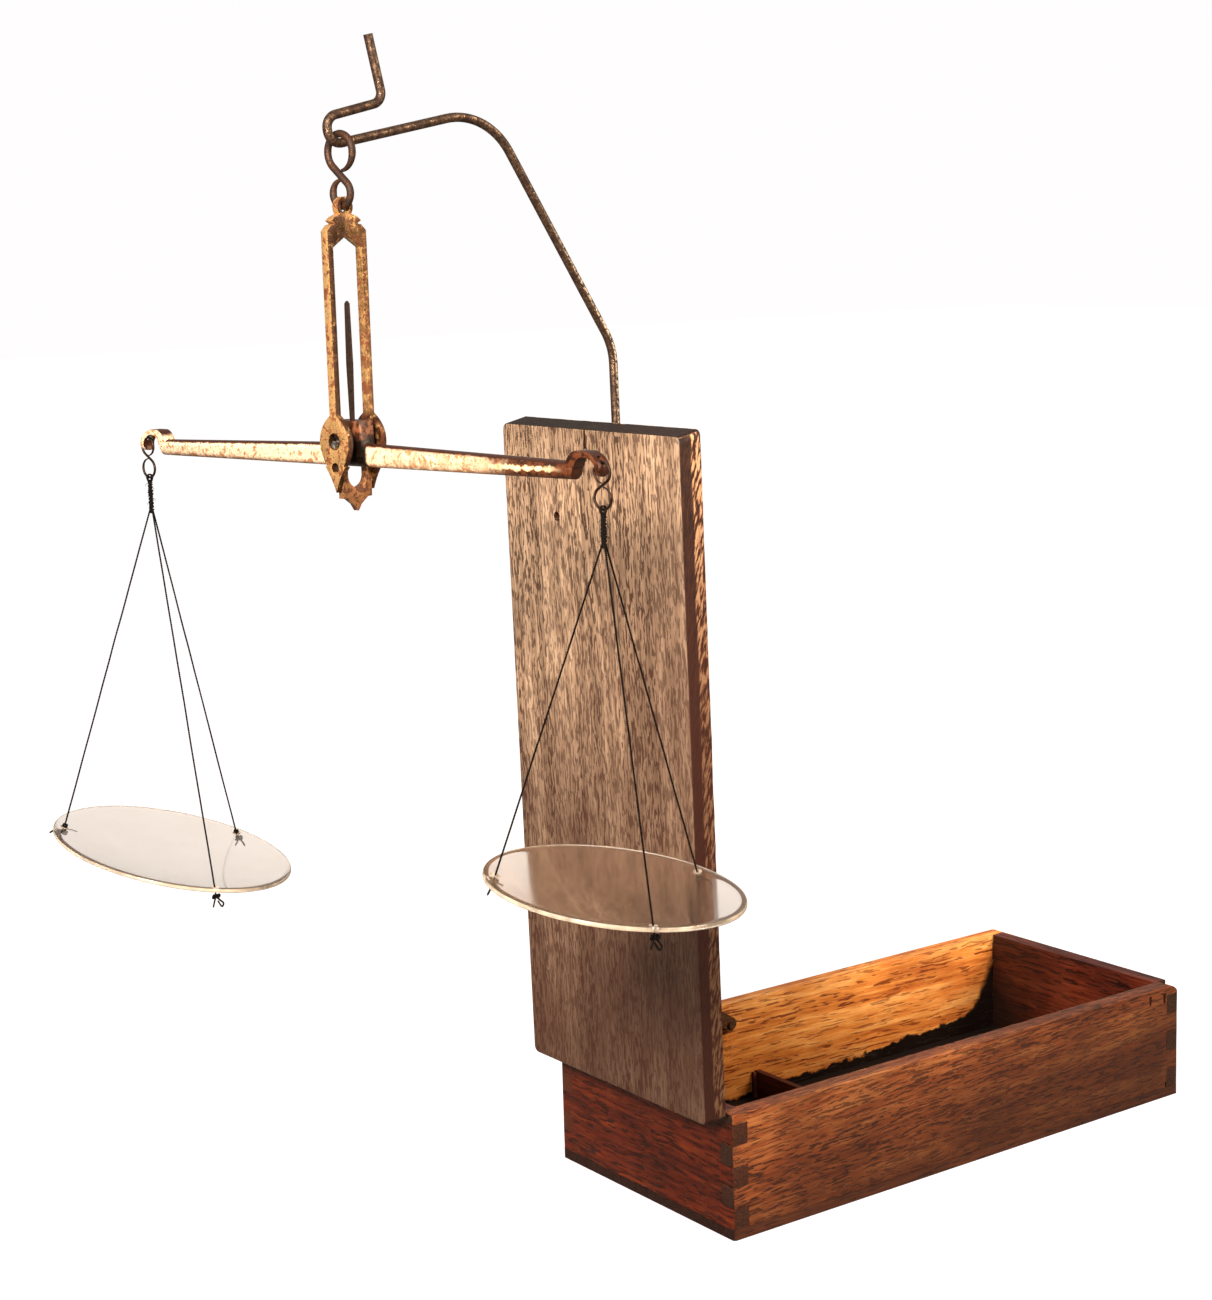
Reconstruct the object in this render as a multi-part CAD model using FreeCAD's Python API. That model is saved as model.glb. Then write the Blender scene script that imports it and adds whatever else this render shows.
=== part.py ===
import FreeCAD, Part
import os
from math import acos, atan2, cos, degrees, radians, sin, sqrt, tan

V = FreeCAD.Vector
X_AXIS = V(1, 0, 0)
Y_AXIS = V(0, 1, 0)
Z_AXIS = V(0, 0, 1)
ORIGIN = V(0, 0, 0)

# An equal-arm hand balance hung from a bent wire on the raised lid of its wooden box.
# Millimetres. X runs from the lid to the far end of the box, Y from the front wall to the
# back wall, Z up, with the origin at the centre of the box's underside.

# Box
BOX_LENGTH = 190.0
BOX_WIDTH = 86.0
BOX_HEIGHT = 38.0
WALL = 5.6
BOTTOM_BOARD = 3.2
TOP_FINGER = 3.0
FULL_FINGERS = 5
CORNER_ROUND = 1.0
TOP_EDGE_ROUND = 0.5
WORN_CORNER = 4.5
LINING = 1.3
LINING_GAP = 0.2
PARTITION_X = -20.0
PARTITION_THICK = 2.0
PARTITION_TOP = 13.0
SLIP = 1.2
SLIP_DROP = 0.3

# Lid
LID_LENGTH = 197.5
LID_THICK = 7.5
LID_TOP_FALL = 1.5
LID_BELOW_PIN = 0.6
LID_LEAN = 1.07
LID_ROUND = 2.0
LID_EDGE_ROUND = 0.5
LID_HOLE = 2.8
LID_HOLE_Y = 16.7
LID_HOLE_HEIGHT = 170.1

# Hinges, pin axis along Y
PIN_OUT = 2.2
PIN_RADIUS = 0.6
PIN_CLEARANCE = 0.05
KNUCKLE_RADIUS = 1.6
KNUCKLE_GAP = 0.15
NOTCH_GAP = 0.25
HINGE_LENGTH = 16.0
HINGE_FROM_SIDE = 17.0
LEAF_THICK = 0.8
LEAF_REACH = 7.6
SCREW_SHANK = 0.7
SCREW_HEAD = 1.3
SCREW_HEAD_DEEP = 0.6
SCREW_LENGTH = 4.0
SCREW_SPREAD = 9.0
SCREW_EDGE = 2.0

# Lid stay: a strip pivoted on the back wall, notched over a keeper on the lid
STAY_WIDTH = 4.5
STAY_THICK = 1.0
STAY_X = -32.2
STAY_BELOW_TOP = 6.0
STAY_TAIL = 1.6
STAY_NAIL = 0.9
STAY_NAIL_HEAD = 1.3
STAY_NAIL_HEAD_THICK = 0.8
STAY_COLLAR = 1.6
STAY_COLLAR_LONG = 1.0
STAY_GAP = 0.1
NAIL_IN_WALL = 4.0
KEEPER_WIRE = 0.6
KEEPER_HEIGHT = 32.6
KEEPER_OUT = 5.0
KEEPER_STEM_BACK = 1.1
KEEPER_GAP = 0.3
KEEPER_FLARE = 0.8

# Bent wire arm: points of its route above the lid, from the hinge pin, with bend radii
ARM_WIRE = 1.25
ARM_OUT = 3.1
ARM_TAIL = 48.0
ARM_BENDS = [
    (218.2, 18.0),
    (284.7, 19.0),
    (276.1, 3.4),
    (283.25, 3.4),
    (287.1, 3.0),
]
ARM_REACH = [ARM_OUT, -35.6, -84.7, -85.7, -68.0]
ARM_END = (-71.4, 304.3)
SOCKET_WIDE = 9.0
SOCKET_TALL = 12.0
SOCKET_FRONT = 3.6
SOCKET_FLOOR = 3.0
SOCKET_PLATE = 1.2
SOCKET_PLATE_TALL = 26.0
ARM_FIT = 0.08
EYE_WIRE = 0.75
EYE_BELOW_TOP = 14.0
EYE_SCREW = 4.0

# Hook on the arm, and the loops' sizes at the wire's centre line
HANG_GAP = 0.15
HOOK_WIRE = 1.0
HOOK_HEIGHT = 18.6
HOOK_TOP_LOOP = 9.5
HOOK_LOW_LOOP = 6.7
HOOK_OPENING = 32.0

# Direction of the beam's right arm, seen from above
HEADING = -78.2

# Fork, heights above the knife edge
FORK_EYE = 62.9
EYE_RADIUS = 2.7
EYE_HOLE = 1.5
EYE_GAP = 0.3
FORK_THICK = 2.6
EYE_THICK = 2.1
BAR_INNER = 5.0
BAR_THICK = 1.8
SHOULDER = 58.3
SHOULDER_ROUND = 1.5
ARCH_APEX = 55.7
ARCH_FOOT = 52.5
HEAD_HALF = 5.2
HEAD_WAIST = 3.9
HEAD_LOW = 58.6
HEAD_TIP = 59.4
HEAD_BROW = 60.4
HEAD_TOP = 61.3
LEAF_NECK = 8.9
LEAF_WIDE = 5.5
LEAF_WIDE_Z = 3.3
LEAF_WAIST = 3.2
LEAF_CUSP = 4.0
LEAF_WAIST_Z = -4.5
LEAF_POINT = -11.5
BEARING_RADIUS = 2.25
BEARING_DROP = 0.2
BRIDGE_THICK = 2.0
BRIDGE_TOP = -3.2
BRIDGE_WINDOW = 3.25
BRIDGE_WINDOW_LOW = -10.5
BRIDGE_STEP = -13.2
BRIDGE_STEP_HALF = 3.6
FINIAL_HALF = 1.2
FINIAL_TIP = -16.8
RIVET_RADIUS = 0.6
RIVET_HEAD = 1.35
RIVET_HEAD_THICK = 0.5
RIVET_Z = -4.9

# Beam, heights from the knife edge
ARM_HALF = 81.5
ARM_THICK = 4.0
ARM_ROUND = 1.9
BEAM_LOW = -4.95
BEAM_MID_TOP = 1.35
BEAM_END_TOP = -0.5
ARM_END_SLANT = 1.0
BOSS_HALF = 5.8
BOSS_TOP_HALF = 5.2
BOSS_TOP = 7.3
BOSS_FOOT = -2.2
BOSS_THICK = 5.0
NECK_THICK = 1.5
NECK_RISE = 2.75
NECK_FOOT_IN = 2.5
NECK_CREST_OUT = 4.1
NECK_OUT = 8.4
NOSE_FRONT = 0.375
NOSE_BACK = 1.8
NOSE_LOW = -3.9
TONGUE_HOLE_WIDE = 1.5
TONGUE_HOLE_TALL = 2.0
TONGUE_HOLE_LOW = -0.95
KNIFE_SIDE = 1.6
KNIFE_OVER = 0.2
POINTER_THICK = 0.7
POINTER_TIP = 38.6
POINTER_TANG = 3.2
POINTER_FOOT_HALF = 0.65
POINTER_WIDE_HALF = 1.05
POINTER_WIDE_Z = 22.0
POINTER_TIP_HALF = 0.7

# Hooks between the beam and the pans
PAN_HOOK_WIRE = 0.35
PAN_HOOK_LOOP = 5.2
PAN_HOOK_LOW_LOOP = 5.4
PAN_HOOK_HEIGHT = 11.6
PAN_HOOK_OPENING = 35.0
PAN_HOOK_GAP = 0.35

# Pans and their threads
THREAD = 0.28
THREAD_SPREAD = 0.45
THREAD_LOOP_GAP = 0.25
THREAD_TRIM = 2.0
WHIPPING_RADIUS = 0.8
PAN_DEPTH = 3.0
PAN_RIM_ROUND = 0.5
PAN_HOLE = 1.1
PAN_HOLE_INSET = 3.0
KNOT_RADIUS = 1.35
KNOT_GAP = 0.02
LEFT_GLASS = 1.2
PANS = {
    "left": {"side": -1, "radius": 35.5, "drop": 102.4, "whipping": 9.0,
             "tilt": (0.20, -0.18), "holes": (151.0, 26.0, -93.0)},
    "right": {"side": 1, "radius": 33.0, "drop": 86.6, "whipping": 8.0,
              "tilt": (0.10, -0.113), "holes": (148.0, 8.0, -108.0)},
}

# How edges are picked: within 25 degrees of a direction, within 6 degrees of square to it,
# or this near to a face
ALONG = cos(radians(25))
ACROSS = sin(radians(6))
NEAR = 0.01

# Values that follow from those above
HALF_LENGTH = BOX_LENGTH / 2
HALF_WIDTH = BOX_WIDTH / 2
FINGER = (BOX_HEIGHT - BOTTOM_BOARD - TOP_FINGER) / FULL_FINGERS
PIN_X = -HALF_LENGTH - PIN_OUT
PIN_Z = BOX_HEIGHT
PIN = V(PIN_X, 0, PIN_Z)
LID_FOOT = PIN_Z - LID_BELOW_PIN
LID_TOP = LID_FOOT + LID_LENGTH
HINGE_CENTRES = {"hinge_1": HINGE_FROM_SIDE - HALF_WIDTH, "hinge_2": HALF_WIDTH - HINGE_FROM_SIDE}
SHANK_X = PIN_X + ARM_OUT
SHANK_FOOT = LID_TOP - ARM_TAIL
STAY_Z = BOX_HEIGHT - STAY_BELOW_TOP
NECK_FOOT = ARM_HALF - NECK_FOOT_IN
NECK_CREST = ARM_HALF + NECK_CREST_OUT
NECK_OUTER = ARM_HALF + NECK_OUT


def box(x0, x1, y0, y1, z0, z1):
    return Part.makeBox(x1 - x0, y1 - y0, z1 - z0, V(x0, y0, z0))


def rod(radius, start, end):
    return Part.makeCylinder(radius, (end - start).Length, start, end - start)


def prism(points, direction):
    return Part.Face(Part.makePolygon(list(points) + [points[0]])).extrude(direction)


def sweep(edges, start, tangent, radius):
    section = Part.Wire(Part.makeCircle(radius, start, tangent))
    return Part.Wire(edges).makePipeShell([section], True, True)


def arc(centre, radius, from_angle, to_angle):
    """Arc in the XZ plane, angles in degrees from +X towards +Z."""
    def at(angle):
        return centre + V(cos(radians(angle)), 0, sin(radians(angle))) * radius
    return Part.Arc(at(from_angle), at((from_angle + to_angle) / 2), at(to_angle)).toShape()


def rounded_route(points, radii):
    """Straight runs joined by tangent arcs of the given radii at the inner points."""
    edges = []
    last = points[0]
    for before, corner, after, radius in zip(points, points[1:], points[2:], radii):
        way_in = (corner - before).normalize()
        way_out = (after - corner).normalize()
        half_turn = acos(way_in.dot(way_out)) / 2
        reach = radius * tan(half_turn)
        arc_start = corner - way_in * reach
        arc_end = corner + way_out * reach
        bisector = (way_out - way_in).normalize()
        middle = corner + bisector * (radius / cos(half_turn) - radius)
        edges.append(Part.makeLine(last, arc_start))
        edges.append(Part.Arc(arc_start, middle, arc_end).toShape())
        last = arc_end
    edges.append(Part.makeLine(last, points[-1]))
    return edges


def lean(shape):
    """Tips a lid piece, modelled upright, outwards about the hinge pin."""
    shape.rotate(PIN, Y_AXIS, -LID_LEAN)
    return shape


def leaned(point):
    angle = radians(LID_LEAN)
    out = point - PIN
    return PIN + V(out.x * cos(angle) - out.z * sin(angle), out.y, out.z * cos(angle) + out.x * sin(angle))


# Box joinery

def outer_block():
    block = box(-HALF_LENGTH, HALF_LENGTH, -HALF_WIDTH, HALF_WIDTH, 0, BOX_HEIGHT)
    upright = [e for e in block.Edges if abs(e.tangentAt(0).z) > ALONG]
    block = block.makeFillet(CORNER_ROUND, upright)
    top = [e for e in block.Edges if e.BoundBox.ZMin > BOX_HEIGHT - NEAR]
    block = block.makeFillet(TOP_EDGE_ROUND, top)
    centre = V(HALF_LENGTH - WORN_CORNER, -HALF_WIDTH, BOX_HEIGHT - WORN_CORNER)
    corner = box(centre.x, HALF_LENGTH, -HALF_WIDTH, -HALF_WIDTH + WALL, centre.z, BOX_HEIGHT)
    return block.cut(corner.cut(rod(WORN_CORNER, centre, centre + V(0, WALL, 0))))


def finger_levels():
    levels = [BOTTOM_BOARD + FINGER * i for i in range(FULL_FINGERS + 1)]
    return list(zip(levels, levels[1:] + [BOX_HEIGHT]))


def corner_posts(long_wall):
    """The corner volumes that the fingers of one pair of walls fill."""
    posts = []
    for i, (low, high) in enumerate(finger_levels()):
        if (i % 2 == 1) != long_wall:
            continue
        for sx in (-1, 1):
            for sy in (-1, 1):
                x = sorted((sx * HALF_LENGTH, sx * (HALF_LENGTH - WALL)))
                y = sorted((sy * HALF_WIDTH, sy * (HALF_WIDTH - WALL)))
                posts.append(box(*x, *y, low, high))
    return posts


def long_wall(side):
    y = sorted((side * HALF_WIDTH, side * (HALF_WIDTH - WALL)))
    wall = outer_block().common(box(-HALF_LENGTH, HALF_LENGTH, *y, BOTTOM_BOARD, BOX_HEIGHT))
    return wall.cut(corner_posts(False))


def end_wall(side):
    x = sorted((side * HALF_LENGTH, side * (HALF_LENGTH - WALL)))
    wall = outer_block().common(box(*x, -HALF_WIDTH, HALF_WIDTH, BOTTOM_BOARD, BOX_HEIGHT))
    return wall.cut(corner_posts(True))


def bottom_board():
    return outer_block().common(box(-HALF_LENGTH, HALF_LENGTH, -HALF_WIDTH, HALF_WIDTH, 0, BOTTOM_BOARD))


def partition():
    y = HALF_WIDTH - WALL
    half = PARTITION_THICK / 2
    return box(PARTITION_X - half, PARTITION_X + half, -y, y, BOTTOM_BOARD, PARTITION_TOP)


def partition_slips():
    y = HALF_WIDTH - WALL
    x = PARTITION_X - PARTITION_THICK / 2
    top = PARTITION_TOP - SLIP_DROP
    slips = [box(x - SLIP, x, *sorted((s * y, s * (y - SLIP))), BOTTOM_BOARD, top) for s in (-1, 1)]
    return Part.makeCompound(slips)


def floor_lining(x0, x1):
    y = HALF_WIDTH - WALL - LINING_GAP
    return box(x0 + LINING_GAP, x1 - LINING_GAP, -y, y, BOTTOM_BOARD, BOTTOM_BOARD + LINING)


# Hinges

def knuckle_spans(centre):
    third = HINGE_LENGTH / 3
    low = centre - HINGE_LENGTH / 2
    return [(low + third * i, low + third * (i + 1)) for i in range(3)]


def knuckle(span, gap=0.0):
    return rod(KNUCKLE_RADIUS + gap, V(PIN_X, span[0], PIN_Z), V(PIN_X, span[1], PIN_Z))


def hinge_pin(centre):
    half = HINGE_LENGTH / 2
    return rod(PIN_RADIUS, V(PIN_X, centre - half, PIN_Z), V(PIN_X, centre + half, PIN_Z))


def pin_hole(centre):
    half = HINGE_LENGTH / 2
    return rod(PIN_RADIUS + PIN_CLEARANCE, V(PIN_X, centre - half, PIN_Z), V(PIN_X, centre + half, PIN_Z))


def leaf(plate, centre, own, other):
    """A plate with its own knuckles, cut back beside the other leaf's knuckles."""
    low, high = centre - HINGE_LENGTH / 2, centre + HINGE_LENGTH / 2
    for span in other:
        wide = (max(span[0] - KNUCKLE_GAP, low), min(span[1] + KNUCKLE_GAP, high))
        plate = plate.cut(knuckle(wide, KNUCKLE_GAP))
    for span in own:
        plate = plate.fuse(knuckle(span))
    return plate.cut(pin_hole(centre)).removeSplitter()


def box_leaf_plate(centre):
    half = HINGE_LENGTH / 2
    return box(PIN_X, PIN_X + LEAF_REACH, centre - half, centre + half, PIN_Z - LEAF_THICK, PIN_Z)


def lid_leaf_plate(centre):
    half = HINGE_LENGTH / 2
    return box(PIN_X - LEAF_THICK, PIN_X, centre - half, centre + half, PIN_Z, PIN_Z + LEAF_REACH)


def trimmed(span):
    return (span[0] + KNUCKLE_GAP, span[1] - KNUCKLE_GAP)


def box_leaf(centre):
    first, middle, last = knuckle_spans(centre)
    return leaf(box_leaf_plate(centre), centre, [first, last], [middle]).cut(screws_at(box_screws(centre)))


def lid_leaf(centre):
    first, middle, last = knuckle_spans(centre)
    shape = leaf(lid_leaf_plate(centre), centre, [trimmed(middle)], [first, last])
    return shape.cut(screws_at(lid_screws(centre)))


def screw(head_face, inwards):
    """A countersunk screw whose head lies flush at head_face."""
    neck = head_face + inwards * SCREW_HEAD_DEEP
    head = Part.makeCone(SCREW_HEAD, SCREW_SHANK, SCREW_HEAD_DEEP, head_face, inwards)
    return head.fuse(rod(SCREW_SHANK, neck, head_face + inwards * SCREW_LENGTH)).removeSplitter()


def box_screws(centre):
    x = PIN_X + LEAF_REACH - SCREW_EDGE
    return [(V(x, centre + s * SCREW_SPREAD / 2, PIN_Z), -Z_AXIS) for s in (-1, 1)]


def lid_screws(centre):
    z = PIN_Z + LEAF_REACH - SCREW_EDGE
    return [(V(PIN_X, centre + s * SCREW_SPREAD / 2, z), -X_AXIS) for s in (-1, 1)]


def screws_at(places):
    return Part.makeCompound([screw(*place) for place in places])


def every_screw(places):
    return screws_at([place for centre in HINGE_CENTRES.values() for place in places(centre)])


def hinge_end_wall():
    wall = end_wall(-1)
    for centre in HINGE_CENTRES.values():
        wall = wall.cut(box_leaf_plate(centre))
    return wall.cut(every_screw(box_screws))


# Lid

def lid_board():
    """The board, its top end cut slanting so that the outer face is the shorter one."""
    outer = PIN_X - LID_THICK
    ends = [(outer, LID_FOOT), (PIN_X, LID_FOOT), (PIN_X, LID_TOP), (outer, LID_TOP - LID_TOP_FALL)]
    board = prism([V(x, -HALF_WIDTH, z) for x, z in ends], V(0, BOX_WIDTH, 0))
    corners = [e for e in board.Edges if abs(e.tangentAt(0).x) > ALONG]
    board = board.makeFillet(LID_ROUND, corners)
    outside = [e for e in board.Edges if e.BoundBox.XMax < outer + NEAR]
    board = board.makeFillet(LID_EDGE_ROUND, outside)
    hole_z = LID_FOOT + LID_HOLE_HEIGHT
    hole = rod(LID_HOLE / 2, V(outer, LID_HOLE_Y, hole_z), V(PIN_X, LID_HOLE_Y, hole_z))
    board = board.cut(hole)
    for centre in HINGE_CENTRES.values():
        half = HINGE_LENGTH / 2 + NOTCH_GAP
        board = board.cut(knuckle((centre - half, centre + half), NOTCH_GAP))
        board = board.cut(lid_leaf_plate(centre))
    board = board.cut(every_screw(lid_screws))
    return board.cut([keeper_stem(), eye_stem(), socket_screws()])


# Lid stay

def keeper_crown():
    y = HALF_WIDTH - WALL
    return V(PIN_X + KEEPER_OUT, y, PIN_Z + KEEPER_HEIGHT)


def stay_faces():
    back = HALF_WIDTH - WALL - STAY_COLLAR_LONG - STAY_GAP
    return back - STAY_THICK, back


def keeper_stem():
    stem_y = stay_faces()[0] - KEEPER_STEM_BACK - KEEPER_WIRE
    crown = keeper_crown()
    return rod(KEEPER_WIRE, V(PIN_X - SCREW_LENGTH, stem_y, crown.z), V(crown.x, stem_y, crown.z))


def stay_keeper():
    crown = keeper_crown()
    stem_y = stay_faces()[0] - KEEPER_STEM_BACK - KEEPER_WIRE
    corner = V(crown.x, stem_y, crown.z)
    tip = V(crown.x, crown.y - KEEPER_GAP, crown.z)
    elbow = Part.makeSphere(KEEPER_WIRE, corner)
    return keeper_stem().fuse([elbow, rod(KEEPER_WIRE, corner, tip)]).removeSplitter()


def stay_line():
    """Length and direction, in degrees above +X, from the stay's pivot to the keeper."""
    crown = leaned(keeper_crown())
    out = V(crown.x - STAY_X, 0, crown.z - STAY_Z)
    return out.Length, degrees(atan2(out.z, out.x))


def lid_stay():
    length, angle = stay_line()
    near, far = stay_faces()
    half = STAY_WIDTH / 2
    tip = length + STAY_TAIL
    depth = V(0, STAY_THICK, 0)
    ends = [rod(half, V(x, 0, 0), V(x, 0, 0) + depth) for x in (0, tip)]
    strip = box(0, tip, 0, STAY_THICK, -half, half).fuse(ends)
    slot = KEEPER_WIRE + KEEPER_GAP
    mouth = [V(length - slot - KEEPER_FLARE, 0, half), V(length - slot, 0, 0),
             V(length + slot, 0, 0), V(length + slot, 0, half)]
    strip = strip.cut([prism(mouth, depth), rod(slot, V(length, 0, 0), V(length, 0, 0) + depth)])
    strip = strip.cut(rod(STAY_NAIL + STAY_GAP, ORIGIN, depth)).removeSplitter()
    strip.rotate(ORIGIN, Y_AXIS, -angle)
    strip.translate(V(STAY_X, near, STAY_Z))
    return strip


def stay_nail():
    near, far = stay_faces()
    wall = HALF_WIDTH - WALL
    head = near - STAY_GAP
    collar = rod(STAY_COLLAR, V(STAY_X, far + STAY_GAP, STAY_Z), V(STAY_X, wall, STAY_Z))
    shank = rod(STAY_NAIL, V(STAY_X, head, STAY_Z), V(STAY_X, wall + NAIL_IN_WALL, STAY_Z))
    cap = rod(STAY_NAIL_HEAD, V(STAY_X, head - STAY_NAIL_HEAD_THICK, STAY_Z), V(STAY_X, head, STAY_Z))
    return shank.fuse([collar, cap]).removeSplitter()


def back_wall():
    return long_wall(1).cut(stay_nail())


# Wire arm and what holds it on the lid

def arm_route():
    bends = [PIN + V(out, 0, up) for out, (up, radius) in zip(ARM_REACH, ARM_BENDS)]
    return [V(SHANK_X, 0, SHANK_FOOT)] + bends + [PIN + V(ARM_END[0], 0, ARM_END[1])]


def wire_arm():
    route = arm_route()
    return sweep(rounded_route(route, [radius for up, radius in ARM_BENDS]), route[0], Z_AXIS, ARM_WIRE)


def shank_hole(top):
    return rod(ARM_WIRE + ARM_FIT, V(SHANK_X, 0, SHANK_FOOT), V(SHANK_X, 0, top))


def socket_screw_places():
    middle = SHANK_FOOT - SOCKET_FLOOR + SOCKET_TALL / 2
    reach = (SOCKET_PLATE_TALL + SOCKET_TALL) / 4
    return [(V(PIN_X + SOCKET_PLATE, 0, middle + s * reach), -X_AXIS) for s in (-1, 1)]


def socket_screws():
    return screws_at(socket_screw_places())


def arm_socket():
    half = SOCKET_WIDE / 2
    low = SHANK_FOOT - SOCKET_FLOOR
    high = low + SOCKET_TALL
    middle = (low + high) / 2
    block = box(PIN_X, SHANK_X + SOCKET_FRONT, -half, half, low, high)
    tall = SOCKET_PLATE_TALL / 2
    plate = box(PIN_X, PIN_X + SOCKET_PLATE, -half, half, middle - tall, middle + tall)
    return block.fuse(plate).cut([shank_hole(LID_TOP), socket_screws()]).removeSplitter()


def eye_stem():
    z = LID_TOP - EYE_BELOW_TOP
    ring = ARM_WIRE + ARM_FIT + EYE_WIRE
    return rod(EYE_WIRE, V(PIN_X - EYE_SCREW, 0, z), V(SHANK_X - ring, 0, z))


def arm_eye():
    z = LID_TOP - EYE_BELOW_TOP
    ring = Part.makeTorus(ARM_WIRE + ARM_FIT + EYE_WIRE, EYE_WIRE, V(SHANK_X, 0, z), Z_AXIS)
    return ring.fuse(eye_stem()).cut(shank_hole(LID_TOP)).removeSplitter()


# The hanging balance is modelled about the knife edge, X along the beam, Y across it

def hanging_point():
    """Just above the wire at the lowest place of the arm's outer bend, as the lid leans."""
    before, corner, after = arm_route()[2:5]
    radius = ARM_BENDS[2][1]
    way_in = (corner - before).normalize()
    way_out = (after - corner).normalize()
    half_turn = acos(way_in.dot(way_out)) / 2
    centre = leaned(corner + (way_out - way_in).normalize() * (radius / cos(half_turn)))
    return centre + Z_AXIS * (ARM_WIRE - radius + HANG_GAP)


HANG = hanging_point()
HOOK_FOOT = HANG + Z_AXIS * (HOOK_WIRE - HOOK_HEIGHT)
KNIFE = HOOK_FOOT + Z_AXIS * (HOOK_WIRE + EYE_GAP - EYE_HOLE - FORK_EYE)


def hang(shape):
    shape.rotate(ORIGIN, Z_AXIS, HEADING)
    shape.translate(KNIFE)
    return shape


def s_hook(top_loop, low_loop, height, opening, wire):
    """Two loops joined by a slanting run, in the XZ plane, with its top at the origin."""
    top, low = top_loop / 2, low_loop / 2
    top_centre = V(0, 0, -top)
    low_centre = V(0, 0, low - height)
    tilt = degrees(acos((top + low) / (height - top - low)))
    upper = arc(top_centre, top, 270 - opening, tilt - 90)
    lower = arc(low_centre, low, tilt + 90, 450 - opening)
    run = Part.makeLine(upper.Vertexes[-1].Point, lower.Vertexes[0].Point)
    start_angle = radians(270 - opening)
    tangent = V(sin(start_angle), 0, -cos(start_angle))
    return sweep([upper, run, lower], upper.Vertexes[0].Point, tangent, wire)


def upper_hook():
    hook = s_hook(HOOK_TOP_LOOP, HOOK_LOW_LOOP, HOOK_HEIGHT, HOOK_OPENING, HOOK_WIRE)
    hook.rotate(ORIGIN, Z_AXIS, 180)
    hook.translate(V(0, 0, HANG.z + HOOK_WIRE - KNIFE.z))
    return hang(hook)


# Fork

def fork_head():
    """The arched head, its eye and the two bars, as one plate across the beam."""
    outer = BAR_INNER + BAR_THICK
    half = FORK_THICK / 2
    right = [(outer, LEAF_NECK), (outer, SHOULDER - SHOULDER_ROUND), (outer - SHOULDER_ROUND, SHOULDER),
             (HEAD_WAIST, HEAD_LOW), (HEAD_HALF, HEAD_TIP), (HEAD_WAIST, HEAD_BROW), (EYE_HOLE, HEAD_TOP)]
    outline = [V(-half, y, z) for y, z in right] + [V(-half, -y, z) for y, z in reversed(right)]
    plate = prism(outline, V(FORK_THICK, 0, 0))
    window = [(-BAR_INNER, LEAF_NECK), (BAR_INNER, LEAF_NECK), (BAR_INNER, ARCH_FOOT), (0, ARCH_APEX),
              (-BAR_INNER, ARCH_FOOT)]
    gap = prism([V(-half, y, z) for y, z in window], V(FORK_THICK, 0, 0))
    ring = rod(EYE_RADIUS, V(-EYE_THICK / 2, 0, FORK_EYE), V(EYE_THICK / 2, 0, FORK_EYE))
    hole = rod(EYE_HOLE, V(-half, 0, FORK_EYE), V(half, 0, FORK_EYE))
    return plate.cut(gap).fuse(ring).cut(hole)


def leaf_side(sign):
    """One side of a cheek's leaf outline, from the neck down to the point."""
    upper = Part.BSplineCurve()
    upper.interpolate([V(sign * x, 0, z) for x, z in (
        (FORK_THICK / 2, LEAF_NECK), (LEAF_WIDE, LEAF_WIDE_Z), (LEAF_WAIST, LEAF_WAIST_Z))])
    lower = Part.BSplineCurve()
    lower.interpolate([V(sign * x, 0, z) for x, z in (
        (LEAF_CUSP, LEAF_WAIST_Z), (LEAF_WAIST / 2, (LEAF_WAIST_Z + LEAF_POINT) / 2), (0, LEAF_POINT))])
    step = Part.makeLine(V(sign * LEAF_WAIST, 0, LEAF_WAIST_Z), V(sign * LEAF_CUSP, 0, LEAF_WAIST_Z))
    return [upper.toShape(), step, lower.toShape()]


def cheek(side):
    neck = FORK_THICK / 2
    top = Part.makeLine(V(-neck, 0, LEAF_NECK), V(neck, 0, LEAF_NECK))
    outline = Part.Wire(Part.__sortEdges__([top] + leaf_side(1) + leaf_side(-1)))
    plate = Part.Face(outline).extrude(V(0, BAR_THICK, 0))
    plate.translate(V(0, BAR_INNER if side > 0 else -BAR_INNER - BAR_THICK, 0))
    return plate


def bearing_bores():
    outer = BAR_INNER + BAR_THICK
    z = BEARING_RADIUS - BEARING_DROP
    return rod(BEARING_RADIUS, V(0, -outer, z), V(0, outer, z))


def rivet(side):
    """A rivet through the bridge whose head lies deep in the cheek's hole."""
    inner = V(0, side * BRIDGE_WINDOW, RIVET_Z)
    face = V(0, side * BAR_INNER, RIVET_Z)
    head = rod(RIVET_HEAD, face, face + V(0, side * RIVET_HEAD_THICK, 0))
    return rod(RIVET_RADIUS, inner, face).fuse(head).removeSplitter()


def cheek_holes():
    outer = BAR_INNER + BAR_THICK
    return [rod(RIVET_HEAD, V(0, side * BAR_INNER, RIVET_Z), V(0, side * outer, RIVET_Z)) for side in (-1, 1)]


def bridge_rivets():
    return Part.makeCompound([rivet(-1), rivet(1)])


def fork_frame():
    frame = fork_head().fuse([cheek(-1), cheek(1)]).cut([bearing_bores()] + cheek_holes())
    return hang(frame.removeSplitter())


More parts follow.
